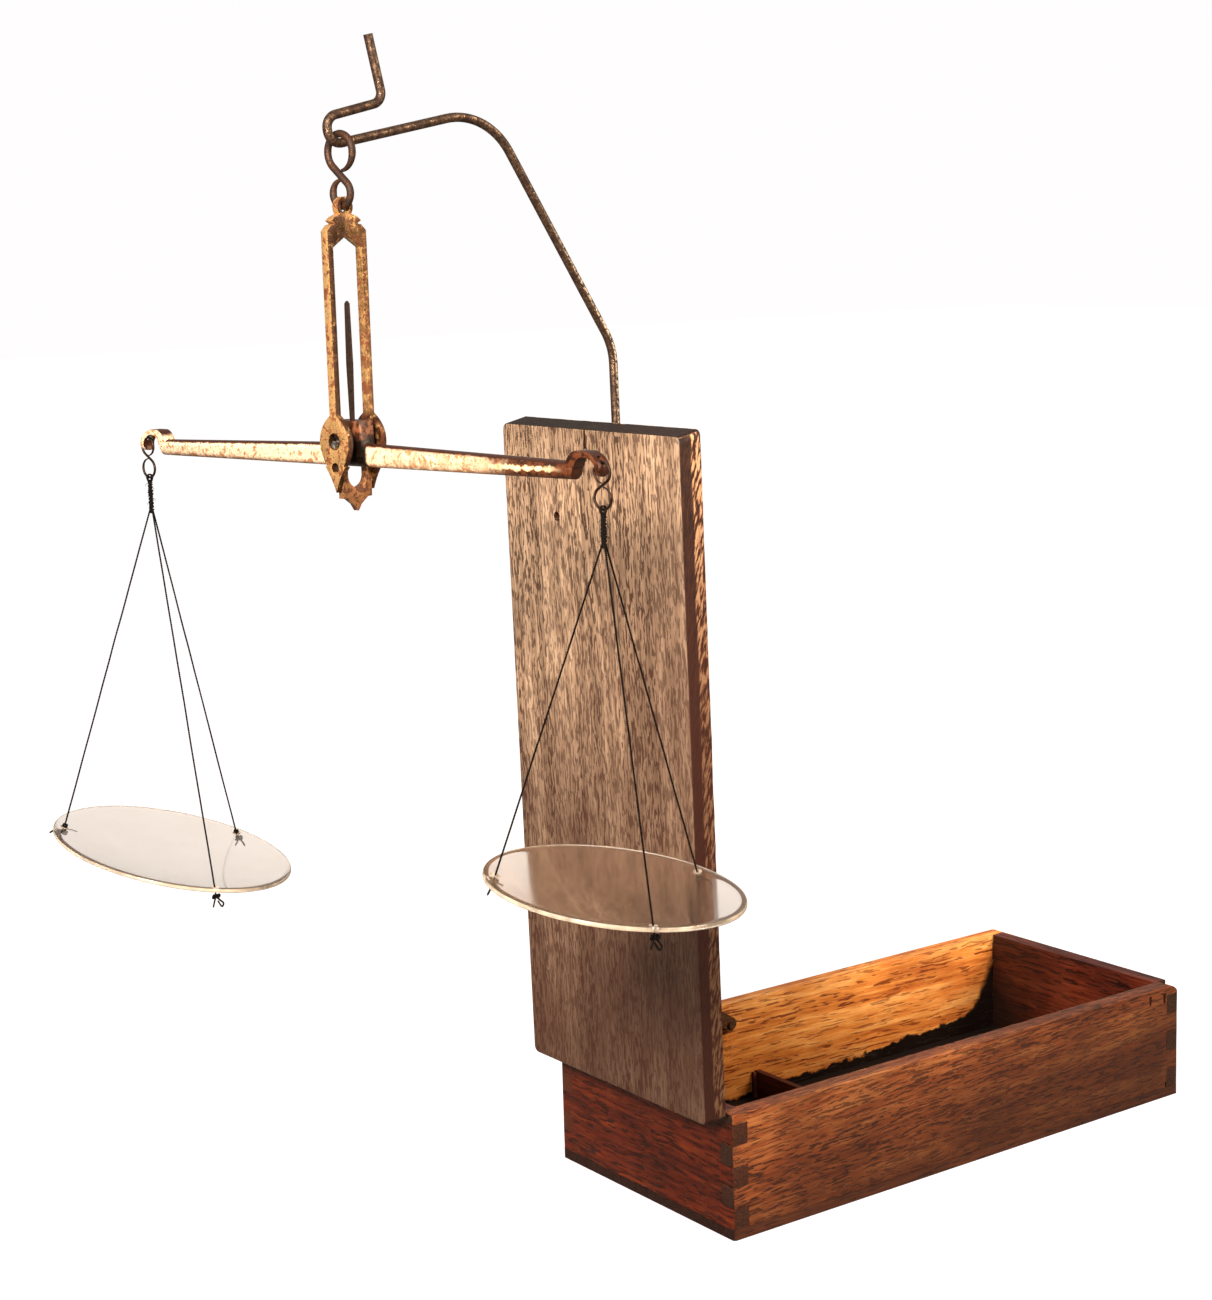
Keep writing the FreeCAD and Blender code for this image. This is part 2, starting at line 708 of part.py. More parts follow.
def fork_bridge():
    half = BRIDGE_THICK / 2
    right = [(BAR_INNER, BRIDGE_TOP), (BAR_INNER, BRIDGE_STEP), (BRIDGE_STEP_HALF, BRIDGE_STEP),
             (FINIAL_HALF, (BRIDGE_STEP + FINIAL_TIP) / 2)]
    outline = [V(-half, y, z) for y, z in right] + [V(-half, 0, FINIAL_TIP)]
    outline += [V(-half, -y, z) for y, z in reversed(right)]
    plate = prism(outline, V(BRIDGE_THICK, 0, 0))
    centre_z = BRIDGE_WINDOW_LOW + BRIDGE_WINDOW
    window = box(-half, half, -BRIDGE_WINDOW, BRIDGE_WINDOW, centre_z, BRIDGE_TOP)
    low = rod(BRIDGE_WINDOW, V(-half, 0, centre_z), V(half, 0, centre_z))
    return hang(plate.cut([window, low, bridge_rivets()]).removeSplitter())


# Beam

def arms():
    side = [(ARM_HALF - ARM_END_SLANT, BEAM_LOW), (ARM_HALF, BEAM_END_TOP), (BOSS_HALF, BEAM_MID_TOP)]
    half = ARM_THICK / 2
    outline = [V(x, -half, z) for x, z in side] + [V(-x, -half, z) for x, z in reversed(side)]
    bar = prism(outline, V(0, ARM_THICK, 0))
    lengthwise = [e for e in bar.Edges if abs(e.tangentAt(0).y) < ACROSS and e.Length > ARM_THICK * 2]
    return bar.makeFillet(ARM_ROUND, lengthwise)


def boss():
    half = BOSS_THICK / 2
    outline = [(BOSS_HALF, BOSS_FOOT), (BOSS_TOP_HALF, BOSS_TOP)]
    points = [V(x, -half, z) for x, z in outline] + [V(-x, -half, z) for x, z in reversed(outline)]
    return prism(points, V(0, BOSS_THICK, 0))


def swan_neck(side):
    """The band that rises off an arm's end and curls down in front of it to a holed tongue."""
    crest = BEAM_END_TOP + NECK_RISE
    half = ARM_THICK / 2
    outer = Part.BSplineCurve()
    outer.interpolate([V(side * x, -half, z) for x, z in (
        (NECK_FOOT, BEAM_END_TOP), (NECK_CREST, crest), (NECK_OUTER, BEAM_END_TOP - NECK_THICK / 2),
        (NECK_OUTER - NOSE_FRONT, NOSE_LOW))])
    inner = Part.BSplineCurve()
    inner.interpolate([V(side * x, -half, z) for x, z in (
        (ARM_HALF, BEAM_END_TOP - NECK_THICK), (NECK_CREST, crest - NECK_THICK),
        (NECK_OUTER - NECK_THICK, BEAM_END_TOP - NECK_THICK / 2), (NECK_OUTER - NOSE_BACK, NOSE_LOW))])
    foot = [V(side * NECK_FOOT, -half, BEAM_END_TOP), V(side * NECK_FOOT, -half, BEAM_END_TOP - NECK_THICK),
            V(side * ARM_HALF, -half, BEAM_END_TOP - NECK_THICK)]
    ends = [Part.makeLine(foot[0], foot[1]), Part.makeLine(foot[1], foot[2]),
            Part.makeLine(outer.EndPoint, inner.EndPoint)]
    outline = Part.Wire(Part.__sortEdges__([outer.toShape(), inner.toShape()] + ends))
    band = Part.Face(outline).extrude(V(0, ARM_THICK, 0))
    nose_z = NOSE_LOW + half
    past = NECK_OUTER + NECK_THICK
    reach = sorted((side * NECK_CREST, side * past))
    keep = box(*sorted((side * NECK_FOOT, side * past)), -half, half, nose_z, crest)
    keep = keep.fuse(rod(half, V(reach[0], 0, nose_z), V(reach[1], 0, nose_z)))
    low = TONGUE_HOLE_LOW
    hole = box(*reach, -TONGUE_HOLE_WIDE / 2, TONGUE_HOLE_WIDE / 2, low, low + TONGUE_HOLE_TALL)
    return band.common(keep).cut(hole)


def knife_prism():
    length = BAR_INNER + BAR_THICK + KNIFE_OVER
    side = KNIFE_SIDE
    knife = box(0, side, -length, length, 0, side)
    knife.rotate(ORIGIN, Y_AXIS, -45)
    return knife


def pointer_blade():
    half = POINTER_THICK / 2
    foot = BOSS_TOP - POINTER_TANG
    right = [(POINTER_FOOT_HALF, foot), (POINTER_FOOT_HALF, BOSS_TOP), (POINTER_WIDE_HALF, POINTER_WIDE_Z),
             (POINTER_TIP_HALF, POINTER_TIP - POINTER_TIP_HALF)]
    outline = [V(x, -half, z) for x, z in right] + [V(0, -half, POINTER_TIP)]
    outline += [V(-x, -half, z) for x, z in reversed(right)]
    return prism(outline, V(0, POINTER_THICK, 0))


def beam():
    body = arms().fuse([boss(), swan_neck(-1), swan_neck(1)])
    return hang(body.cut([knife_prism(), pointer_blade()]).removeSplitter())


# Pan hooks and pans

def tongue_x():
    return NECK_OUTER - NECK_THICK / 2


def pan_hook(side):
    hook = s_hook(PAN_HOOK_LOOP, PAN_HOOK_LOW_LOOP, PAN_HOOK_HEIGHT, PAN_HOOK_OPENING, PAN_HOOK_WIRE)
    hook.rotate(ORIGIN, Z_AXIS, 0 if side > 0 else 180)
    hook.translate(V(side * tongue_x(), 0, TONGUE_HOLE_LOW + PAN_HOOK_GAP + PAN_HOOK_WIRE))
    return hang(hook)


def hook_foot(side):
    """Centre of the hook's wire at the bottom of its lower loop, about the knife edge."""
    z = TONGUE_HOLE_LOW + PAN_HOOK_GAP + PAN_HOOK_WIRE - PAN_HOOK_HEIGHT
    return V(side * tongue_x(), 0, z)


def whipping(pan):
    """A thread loop round the hook's lower loop, and the bound threads below it."""
    foot = hook_foot(pan["side"])
    loop_radius = PAN_HOOK_WIRE + THREAD_LOOP_GAP + THREAD
    loop = Part.makeTorus(loop_radius, THREAD, foot, X_AXIS)
    top = foot - Z_AXIS * loop_radius
    grip = rod(WHIPPING_RADIUS, top, top - Z_AXIS * pan["whipping"])
    return loop.fuse(grip).removeSplitter()


def whipping_foot(pan):
    foot = hook_foot(pan["side"])
    drop = PAN_HOOK_WIRE + THREAD_LOOP_GAP + THREAD + pan["whipping"]
    place = FreeCAD.Placement(KNIFE, FreeCAD.Rotation(Z_AXIS, HEADING))
    return place.multVec(foot - Z_AXIS * drop)


def pan_normal(pan):
    return V(pan["tilt"][0], pan["tilt"][1], 1).normalize()


def pan_turn(pan):
    return FreeCAD.Rotation(Z_AXIS, pan_normal(pan))


def dish(radius, thick):
    """A shallow glass dish about Z, its inner face passing through the origin."""
    curve = (radius ** 2 + PAN_DEPTH ** 2) / (2 * PAN_DEPTH)
    spread = atan2(radius, curve - PAN_DEPTH)

    def at(distance, share):
        angle = spread * share
        return V(distance * sin(angle), 0, curve - distance * cos(angle))

    inner = Part.Arc(at(curve, 0), at(curve, 0.5), at(curve, 1)).toShape()
    outer = Part.Arc(at(curve + thick, 0), at(curve + thick, 0.5), at(curve + thick, 1)).toShape()
    axis = Part.makeLine(at(curve, 0), at(curve + thick, 0))
    rim = Part.makeLine(at(curve, 1), at(curve + thick, 1))
    half = Part.Face(Part.Wire(Part.__sortEdges__([inner, rim, outer, axis])))
    shell = half.revolve(ORIGIN, Z_AXIS, 360)
    edges = [e for e in shell.Edges if e.BoundBox.XLength > radius]
    return shell.makeFillet(PAN_RIM_ROUND, edges)


def glass_thickness(pan):
    """Both dishes hold as much glass, so that they weigh the same and the smaller one is thicker."""
    left_radius = PANS["left"]["radius"]
    nearly = LEFT_GLASS * (left_radius / pan["radius"]) ** 2
    return nearly * dish(left_radius, LEFT_GLASS).Volume / dish(pan["radius"], nearly).Volume


def hole_places(pan, thick):
    """Middle of each thread hole in the dish's own frame."""
    distance = pan["radius"] - PAN_HOLE_INSET
    curve = (pan["radius"] ** 2 + PAN_DEPTH ** 2) / (2 * PAN_DEPTH)
    height = curve - sqrt(curve ** 2 - distance ** 2) - thick / 2
    turn = pan_turn(pan).inverted()
    places = []
    for angle in pan["holes"]:
        flat = turn.multVec(V(cos(radians(angle)), sin(radians(angle)), 0))
        level = V(flat.x, flat.y, 0).normalize()
        places.append(level * distance + Z_AXIS * height)
    return places


def pan_glass(pan, thick):
    """The drilled dish and the move that carries its own frame into place."""
    glass = dish(pan["radius"], thick)
    drills = [rod(PAN_HOLE, p - Z_AXIS * thick * 2, p + Z_AXIS * thick * 2) for p in hole_places(pan, thick)]
    glass = glass.cut(drills).Solids[0]
    turn = pan_turn(pan)
    centre = whipping_foot(pan) - Z_AXIS * pan["drop"]
    place = FreeCAD.Placement(centre - turn.multVec(glass.CenterOfMass), turn)
    glass.Placement = place
    return glass, place


def threads_and_knots(pan, thick, place):
    start = whipping_foot(pan)
    threads, knots = [], []
    for hole in hole_places(pan, thick):
        middle = place.multVec(hole)
        out = V(middle.x - start.x, middle.y - start.y, 0).normalize()
        top = start + out * THREAD_SPREAD
        way = (middle - top).normalize()
        below = thick / 2 + KNOT_RADIUS + KNOT_GAP
        knot_centre = middle + way * (below / abs(way.dot(pan_normal(pan))))
        knot = Part.makeSphere(KNOT_RADIUS, knot_centre)
        lead = rod(THREAD, top - way * THREAD, knot_centre)
        level = box(top.x - THREAD_TRIM, top.x + THREAD_TRIM, top.y - THREAD_TRIM, top.y + THREAD_TRIM,
                    top.z, top.z + THREAD_TRIM)
        threads.append(lead.cut([knot, level]))
        knots.append(knot)
    return Part.makeCompound(threads), Part.makeCompound(knots)


# Every node, by name

def build():
    nodes = {
        "front_wall": long_wall(-1),
        "back_wall": back_wall(),
        "hinge_end_wall": hinge_end_wall(),
        "far_end_wall": end_wall(1),
        "bottom_board": bottom_board(),
        "partition": partition(),
        "partition_slips": partition_slips(),
        "near_floor_lining": floor_lining(WALL - HALF_LENGTH, PARTITION_X - PARTITION_THICK / 2 - SLIP),
        "far_floor_lining": floor_lining(PARTITION_X + PARTITION_THICK / 2, HALF_LENGTH - WALL),
        "hinge_box_screws": every_screw(box_screws),
        "hinge_lid_screws": lean(every_screw(lid_screws)),
        "lid_board": lean(lid_board()),
        "stay_pivot_nail": stay_nail(),
        "stay_keeper": lean(stay_keeper()),
        "lid_stay": lid_stay(),
        "arm_socket": lean(arm_socket()),
        "arm_socket_screws": lean(socket_screws()),
        "arm_eye": lean(arm_eye()),
        "wire_arm": lean(wire_arm()),
        "upper_s_hook": upper_hook(),
        "fork_frame": fork_frame(),
        "fork_bridge": fork_bridge(),
        "bridge_rivets": hang(bridge_rivets()),
        "beam": beam(),
        "knife_edge": hang(knife_prism()),
        "pointer": hang(pointer_blade()),
    }
    for name, centre in HINGE_CENTRES.items():
        nodes[name + "_box_leaf"] = box_leaf(centre)
        nodes[name + "_lid_leaf"] = lean(lid_leaf(centre))
        nodes[name + "_pin"] = hinge_pin(centre)
    for name, pan in PANS.items():
        thick = glass_thickness(pan)
        glass, place = pan_glass(pan, thick)
        threads, knots = threads_and_knots(pan, thick, place)
        nodes[name + "_s_hook"] = pan_hook(pan["side"])
        nodes[name + "_whipping"] = hang(whipping(pan))
        nodes[name + "_pan"] = glass
        nodes[name + "_threads"] = threads
        nodes[name + "_knots"] = knots
    return nodes


os.makedirs("parts", exist_ok=True)
for node, shape in build().items():
    shape.exportStep("parts/" + node + ".step")
    print(node, "solids", len(shape.Solids), "valid", shape.isValid(), "mm3", round(shape.Volume, 2))
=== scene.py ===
from math import acos, atan2, cos, pi, radians, sin, sqrt, tau

import bpy
from mathutils import Matrix, Quaternion, Vector, noise


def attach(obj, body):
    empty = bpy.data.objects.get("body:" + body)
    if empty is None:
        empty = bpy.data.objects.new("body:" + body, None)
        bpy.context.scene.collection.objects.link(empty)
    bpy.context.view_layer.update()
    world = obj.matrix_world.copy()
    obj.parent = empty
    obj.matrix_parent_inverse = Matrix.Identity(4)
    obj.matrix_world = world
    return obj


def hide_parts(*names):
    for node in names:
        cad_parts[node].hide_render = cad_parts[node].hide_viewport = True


# A hand balance on the raised lid of its wooden box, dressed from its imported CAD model.
# Metres throughout, in the CAD frame; MM turns a millimetre figure into metres.
MM = 0.001
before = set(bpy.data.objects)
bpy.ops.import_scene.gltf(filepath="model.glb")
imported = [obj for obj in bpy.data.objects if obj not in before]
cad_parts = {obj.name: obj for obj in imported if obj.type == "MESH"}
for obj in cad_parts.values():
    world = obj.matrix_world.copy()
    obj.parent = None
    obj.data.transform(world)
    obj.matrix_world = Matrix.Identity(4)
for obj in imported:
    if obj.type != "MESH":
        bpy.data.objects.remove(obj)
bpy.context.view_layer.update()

# Places that the hanging pieces are built about, as in the CAD
HANG = Vector((-0.1842357, 0.0, 0.3144794))
KNIFE = Vector((-0.1842357, 0.0, 0.2337794))
BEAM_WAY = Vector((cos(radians(-78.2)), sin(radians(-78.2)), 0))
ACROSS = Vector((-BEAM_WAY.y, BEAM_WAY.x, 0))
UP = Vector((0, 0, 1))
HINGE = Vector((-0.0972, 0, 0.038))
# How far the lid leans over its hinges for each metre of height
LID_SLOPE = 0.01868


# ---- small tools ----

def linear(code):
    """A colour as read on screen, #rrggbb, as the renderer's linear values."""
    values = [int(code[i:i + 2], 16) / 255 for i in (1, 3, 5)]
    return (*[v / 12.92 if v <= 0.04045 else ((v + 0.055) / 1.055) ** 2.4 for v in values], 1.0)


def add(tree, kind, settings=None, out=0, **sockets):
    """One shader node, of which an output is given back. A socket given another node's output is linked,
    any other value is set on it, a colour code made linear first. A name such as i6 is input number 6."""
    made = tree.nodes.new("ShaderNode" + kind)
    for name, value in (settings or {}).items():
        setattr(made, name, value)
    for name, value in sockets.items():
        spot = made.inputs[int(name[1:])] if name[1:].isdigit() else made.inputs[name.replace("_", " ")]
        if isinstance(value, bpy.types.NodeSocket):
            tree.links.new(value, spot)
        else:
            spot.default_value = linear(value) if isinstance(value, str) else value
    return made.outputs[out] if made.outputs else None


def new_material(name):
    material = bpy.data.materials.new(name)
    material.use_nodes = True
    material.node_tree.nodes.clear()
    return material, material.node_tree


def close_material(material, tree, shader):
    add(tree, "OutputMaterial", Surface=shader)
    return material


def ramp(tree, value, stops):
    """A value turned into a colour through stops of (place, colour code)."""
    made = add(tree, "ValToRGB", Fac=value)
    band = made.node.color_ramp
    while len(band.elements) < len(stops):
        band.elements.new(0.5)
    for element, (place, colour) in zip(band.elements, stops):
        element.position = place
        element.color = linear(colour)
    return made


def mix(tree, share, one, other):
    return add(tree, "Mix", {"data_type": "RGBA"}, 2, i0=share, i6=one, i7=other)


def calc(tree, operation, one, other=0.0, third=0.0, clamp=False):
    settings = {"operation": operation, "use_clamp": clamp}
    return add(tree, "Math", settings, i0=one, i1=other, i2=third)


def scaled(tree, one, share, plus, clamp=False):
    """One value times another, plus a third."""
    return calc(tree, "MULTIPLY_ADD", one, share, plus, clamp=clamp)


def times(tree, one, other, clamp=False):
    return calc(tree, "MULTIPLY", one, other, clamp=clamp)


def less(tree, one, other, clamp=False):
    return calc(tree, "SUBTRACT", one, other, clamp=clamp)


def between(tree, value, low, high):
    """0 below low, 1 above high, in a straight line between; low may be the larger."""
    return add(tree, "MapRange", i0=value, i1=low, i2=high, i3=0.0, i4=1.0)


def dot(tree, vector, way):
    """How far a vector reaches along a direction."""
    return add(tree, "VectorMath", {"operation": "DOT_PRODUCT"}, 1, i0=vector, i1=tuple(way))


def spot_coordinates(tree):
    return add(tree, "TexCoord", out="Object")


def spot_axes(tree):
    return axes(tree, spot_coordinates(tree))


def face_way(tree):
    """The direction a face looks in."""
    return add(tree, "TexCoord", out="Normal")


def placed(tree, shift=(0, 0, 0), turn=(0, 0, 0), stretch=(1, 1, 1)):
    """Object coordinates turned and moved, then stretched per axis."""
    turned = add(tree, "Mapping", Vector=spot_coordinates(tree), Location=shift, Rotation=turn)
    return add(tree, "Mapping", Vector=turned, Scale=stretch)


def axes(tree, vector):
    return add(tree, "SeparateXYZ", Vector=vector).node.outputs


def cloud(tree, where, scale, detail, rough, twist=0.0):
    """Cloudy noise from 0 to 1, scale in cycles to the metre."""
    return add(tree, "TexNoise", Vector=where, Scale=scale, Detail=detail, Roughness=rough,
               Distortion=twist)


# ---- wood ----

# Noise in the wood, in cycles to the metre
BEND_SCALE, RIPPLE_SCALE = 45, 260
BAND_SCALE, RIDGE_SCALE, STREAK_SCALE = 130, 420, 1300
PATCH_SCALE, SPECK_SCALE = 26, 1300
# What bands, ridges and streaks each give to the tone, and where the three tones sit on it
BAND_SHARE, RIDGE_SHARE, STREAK_SHARE = 0.3, 0.4, 0.3
TONE_PLACES = (0.41, 0.5, 0.59)
# How far a face has turned across the grain when its end grain starts to show, and shows fully
END_TURN = (0.55, 0.8)


def wood(name, grain, tones, pore, end_tone, shift=(0, 0, 0), tilt=0, pore_cut=0.53, pore_soft=0.04,
         pore_size=(5.0, 0.5), rough=0.5, wave=0.6, relief=0.3, contrast=1.0, extra=None):
    """Open-pored hardwood with its grain along one axis: growth bands, ridges and dark open pores, and
    dark end grain on the faces that cut across it. Colours are codes, pore_size is length and width in
    millimetres, and tilt slants the grain off its axis, in degrees."""
    material, tree = new_material(name)
    lean = radians(tilt)
    turn = {"X": (0, lean, 0), "Y": (lean, 0, pi / 2), "Z": (lean, pi / 2, 0)}[grain]
    warp = cloud(tree, placed(tree, shift, turn, (0.35, 1, 1)), BEND_SCALE, 2, 0.5)
    ripple = cloud(tree, placed(tree, shift, turn, (0.6, 1, 1)), RIPPLE_SCALE, 2, 0.5)
    bent = times(tree, less(tree, warp, 0.5), wave * 4 * MM)
    bent = scaled(tree, less(tree, ripple, 0.5), wave * 1.1 * MM, bent)
    spread = add(tree, "CombineXYZ", X=0.0, Y=bent, Z=bent)

    def grained(stretch):
        turned = add(tree, "Mapping", Vector=spot_coordinates(tree), Location=shift, Rotation=turn)
        moved = add(tree, "VectorMath", {"operation": "ADD"}, i0=turned, i1=spread)
        return add(tree, "Mapping", Vector=moved, Scale=stretch)

    long_mm, wide_mm = pore_size
    bands = cloud(tree, grained((0.05, 1, 1)), BAND_SCALE, 2, 0.5, 0.3)
    ridges = cloud(tree, grained((0.07, 1, 1)), RIDGE_SCALE, 3, 0.6)
    streaks = cloud(tree, grained((0.06, 1, 1)), STREAK_SCALE, 3, 0.6)
    pores = cloud(tree, grained((wide_mm / long_mm, 1, 1)), 0.55 / (wide_mm * MM), 2, 0.5)
    patches = cloud(tree, placed(tree, shift), PATCH_SCALE, 4, 0.6)
    tone = scaled(tree, ridges, RIDGE_SHARE, times(tree, bands, BAND_SHARE))
    tone = scaled(tree, streaks, STREAK_SHARE, tone)
    tone = scaled(tree, less(tree, tone, 0.5), contrast, 0.5)
    colour = ramp(tree, tone, list(zip(TONE_PLACES, tones)))
    open_pore = between(tree, pores, pore_cut, pore_cut + pore_soft)
    clump = between(tree, bands, 0.62, 0.38)
    mask = times(tree, open_pore, scaled(tree, clump, 0.35, 0.6))
    colour = mix(tree, mask, colour, pore)
    colour = mix(tree, between(tree, patches, 0.60, 0.36), colour, mix(tree, 0.4, colour, pore))
    across = calc(tree, "ABSOLUTE", axes(tree, face_way(tree))["XYZ".index(grain)])
    end_share = between(tree, across, *END_TURN)
    specks = cloud(tree, placed(tree, shift), SPECK_SCALE, 3, 0.6)
    half_tone = mix(tree, 0.5, end_tone, "#000000")
    end_colour = mix(tree, between(tree, specks, 0.38, 0.6), half_tone, end_tone)
    colour = mix(tree, end_share, colour, end_colour)
    if extra:
        colour = extra(tree, colour)
    height = scaled(tree, mask, -0.8, scaled(tree, ridges, 1.2, times(tree, streaks, 0.35)))
    bump = add(tree, "Bump", Height=height, Strength=0.9, Distance=relief * MM)
    shine = scaled(tree, patches, -0.3, rough + 0.15)
    shader = add(tree, "BsdfPrincipled", Base_Color=colour, Roughness=shine, Normal=bump,
                 Specular_IOR_Level=0.3)
    return close_material(material, tree, shader)


def looks_back(tree, axis):
    """1 on the faces that look back along an axis, 0 on the rest."""
    return between(tree, axes(tree, face_way(tree))[axis], -0.6, -0.9)


def lid_edge(tree, colour):
    """Along the lid's long edges: a dark band next to the outer face, redder slanting grain behind it.
    The end grain at the top stays as it is."""
    band_from, band_to, wander_depth = -3.6 * MM, -3.1 * MM, 2.4 * MM
    shade_top, shade_foot = 0.232, 0.15
    edge = between(tree, calc(tree, "ABSOLUTE", axes(tree, face_way(tree))[1]), *END_TURN)
    parts = spot_axes(tree)
    depth = scaled(tree, less(tree, parts[2], HINGE.z), LID_SLOPE, less(tree, parts[0], HINGE.x))
    wander = cloud(tree, placed(tree, (0.1, 0, 0), stretch=(1, 1, 0.3)), 120, 3, 0.6)
    line = scaled(tree, wander, wander_depth, depth)
    line = scaled(tree, parts[2], -0.006, line)
    slanted = placed(tree, turn=(0, radians(-14), 0), stretch=(1, 1, 0.2))
    slant = cloud(tree, slanted, STREAK_SCALE, 3, 0.6)
    red = ramp(tree, slant, [(0.44, "#2a140b"), (0.5, "#7c5138"), (0.56, "#c09874")])
    dark = ramp(tree, slant, [(0.38, "#160a07"), (0.62, "#3a2015")])
    banded = mix(tree, between(tree, line, band_from, band_to), dark, red)
    low = between(tree, parts[2], shade_top, shade_foot)
    banded = mix(tree, low, banded, mix(tree, 0.75, banded, "#36140a"))
    return mix(tree, edge, colour, banded)


def lid_age(tree, colour):
    """The lid's face: paler and greyer towards the top, browner and darker towards the hinges, painted shade
    for the light falling off down the lid.
    """
    lid_shade_top, lid_shade_foot, slope_across = 0.205, 0.07, 0.55
    parts = spot_axes(tree)
    height = scaled(tree, parts[1], slope_across, parts[2])
    low = between(tree, height, lid_shade_top, lid_shade_foot)
    uneven = scaled(tree, cloud(tree, placed(tree), 14, 3, 0.5), 0.6, less(tree, low, 0.3))
    uneven = times(tree, uneven, 0.95, clamp=True)
    return lid_edge(tree, mix(tree, uneven, colour, mix(tree, 0.85, colour, "#45261b")))


def front_age(tree, colour):
    """The front wall: bright and golden by the hinge end's top, darker to the right and low down."""
    dark_from, dark_to, low_top, low_foot = -0.095, 0.05, 0.036, 0.004
    parts = spot_axes(tree)
    across = between(tree, parts[0], dark_from, dark_to)
    low = between(tree, parts[2], low_top, low_foot)
    share = scaled(tree, across, 0.66, times(tree, low, 0.65))
    uneven = scaled(tree, cloud(tree, placed(tree), 30, 3, 0.6), 0.7, less(tree, share, 0.35), clamp=True)
    return mix(tree, uneven, colour, mix(tree, 0.8, colour, "#381a10"))


def inner_age(tree, colour):
    """The back wall's inner face, blackened from the floor up and higher towards the far corner: painted
    shadow of the front and far end walls, partly dirt along its ragged edge. The fingers that reach the hinge
    end stay brown."""
    along_rise, corner_rise, even_rise, uneven_rise = 5 * MM, 17 * MM, 5.2 * MM, 7 * MM
    rise_from, rise_to, corner_from, corner_to = -0.02, 0.08, 0.074, 0.0894
    shade_top, shade_foot, finger_from, finger_to = 0.036, 0.010, -0.0936, -0.0944
    parts = spot_axes(tree)
    dirt_and_shadow_noise = cloud(tree, placed(tree), 170, 4, 0.65)
    rise = times(tree, between(tree, parts[0], rise_from, rise_to), along_rise)
    corner = calc(tree, "POWER", between(tree, parts[0], corner_from, corner_to), 1.8)
    corner = times(tree, corner, corner_rise)
    reach = calc(tree, "ADD", calc(tree, "ADD", rise, corner), even_rise)
    reach = scaled(tree, less(tree, dirt_and_shadow_noise, 0.5), uneven_rise, reach)
    over = less(tree, parts[2], reach)
    soft = scaled(tree, corner, 0.5, 0.7 * MM)
    foot = less(tree, 1.0, calc(tree, "DIVIDE", over, soft), clamp=True)
    shaded = mix(tree, between(tree, parts[2], shade_top, shade_foot), colour,
                 mix(tree, 0.22, colour, "#6b2408"))
    shaded = mix(tree, between(tree, parts[0], finger_from, finger_to), shaded, "#4a2313")
    # Painted shadow, partly dirt: near black below the ragged line, on the inner face only
    return mix(tree, times(tree, foot, looks_back(tree, 1)), shaded, "#120806")


def far_age(tree, colour):
    """The far end: its inner face darkened towards the back corner and the floor, painted shade."""
    back_from, back_to, low_top, low_foot = 0.0, 0.036, 0.030, 0.006
    parts = spot_axes(tree)
    back = between(tree, parts[1], back_from, back_to)
    low = between(tree, parts[2], low_top, low_foot)
    share = scaled(tree, back, 0.75, times(tree, low, 0.45), clamp=True)
    return mix(tree, times(tree, share, looks_back(tree, 0)), colour, "#1a0b06")


# ---- metals, glass, thread ----

def aged_metal(name, bright, stained, deep, share, soft, grain, rough, bump, shift=(0, 0, 0),
               metal=(1.0, 0.5), extra=None):
    """Metal whose bright skin is broken by duller stains and darker pits. Colours are codes; rough and
    metal are each a pair, for the skin and for the stains."""
    material, tree = new_material(name)
    where = placed(tree, shift)
    blotch = cloud(tree, where, grain, 5, 0.62, 0.4)
    pits = cloud(tree, where, grain * 4, 3, 0.6)
    stain = between(tree, blotch, share - soft, share + soft)
    colour = mix(tree, stain, bright, stained)
    colour = mix(tree, between(tree, pits, 0.56, 0.68), colour, deep)
    if extra:
        colour = extra(tree, colour)
    shine = scaled(tree, stain, rough[1] - rough[0], rough[0])
    height = scaled(tree, pits, -0.6, times(tree, stain, 0.5))
    dents = add(tree, "Bump", Height=height, Strength=bump, Distance=0.2 * MM)
    bare = scaled(tree, stain, metal[1] - metal[0], metal[0])
    shader = add(tree, "BsdfPrincipled", Base_Color=colour, Metallic=bare, Roughness=shine, Normal=dents)
    return close_material(material, tree, shader)


def about_knife(tree):
    """How far along the beam, across it and above the knife edge a spot lies."""
    spot = spot_coordinates(tree)
    return [less(tree, dot(tree, spot, way), KNIFE.dot(way)) for way in (BEAM_WAY, ACROSS, UP)]


def facing_share(tree, way, low, high):
    """0 to 1 as a face turns towards a direction."""
    return between(tree, dot(tree, face_way(tree), way), low, high)


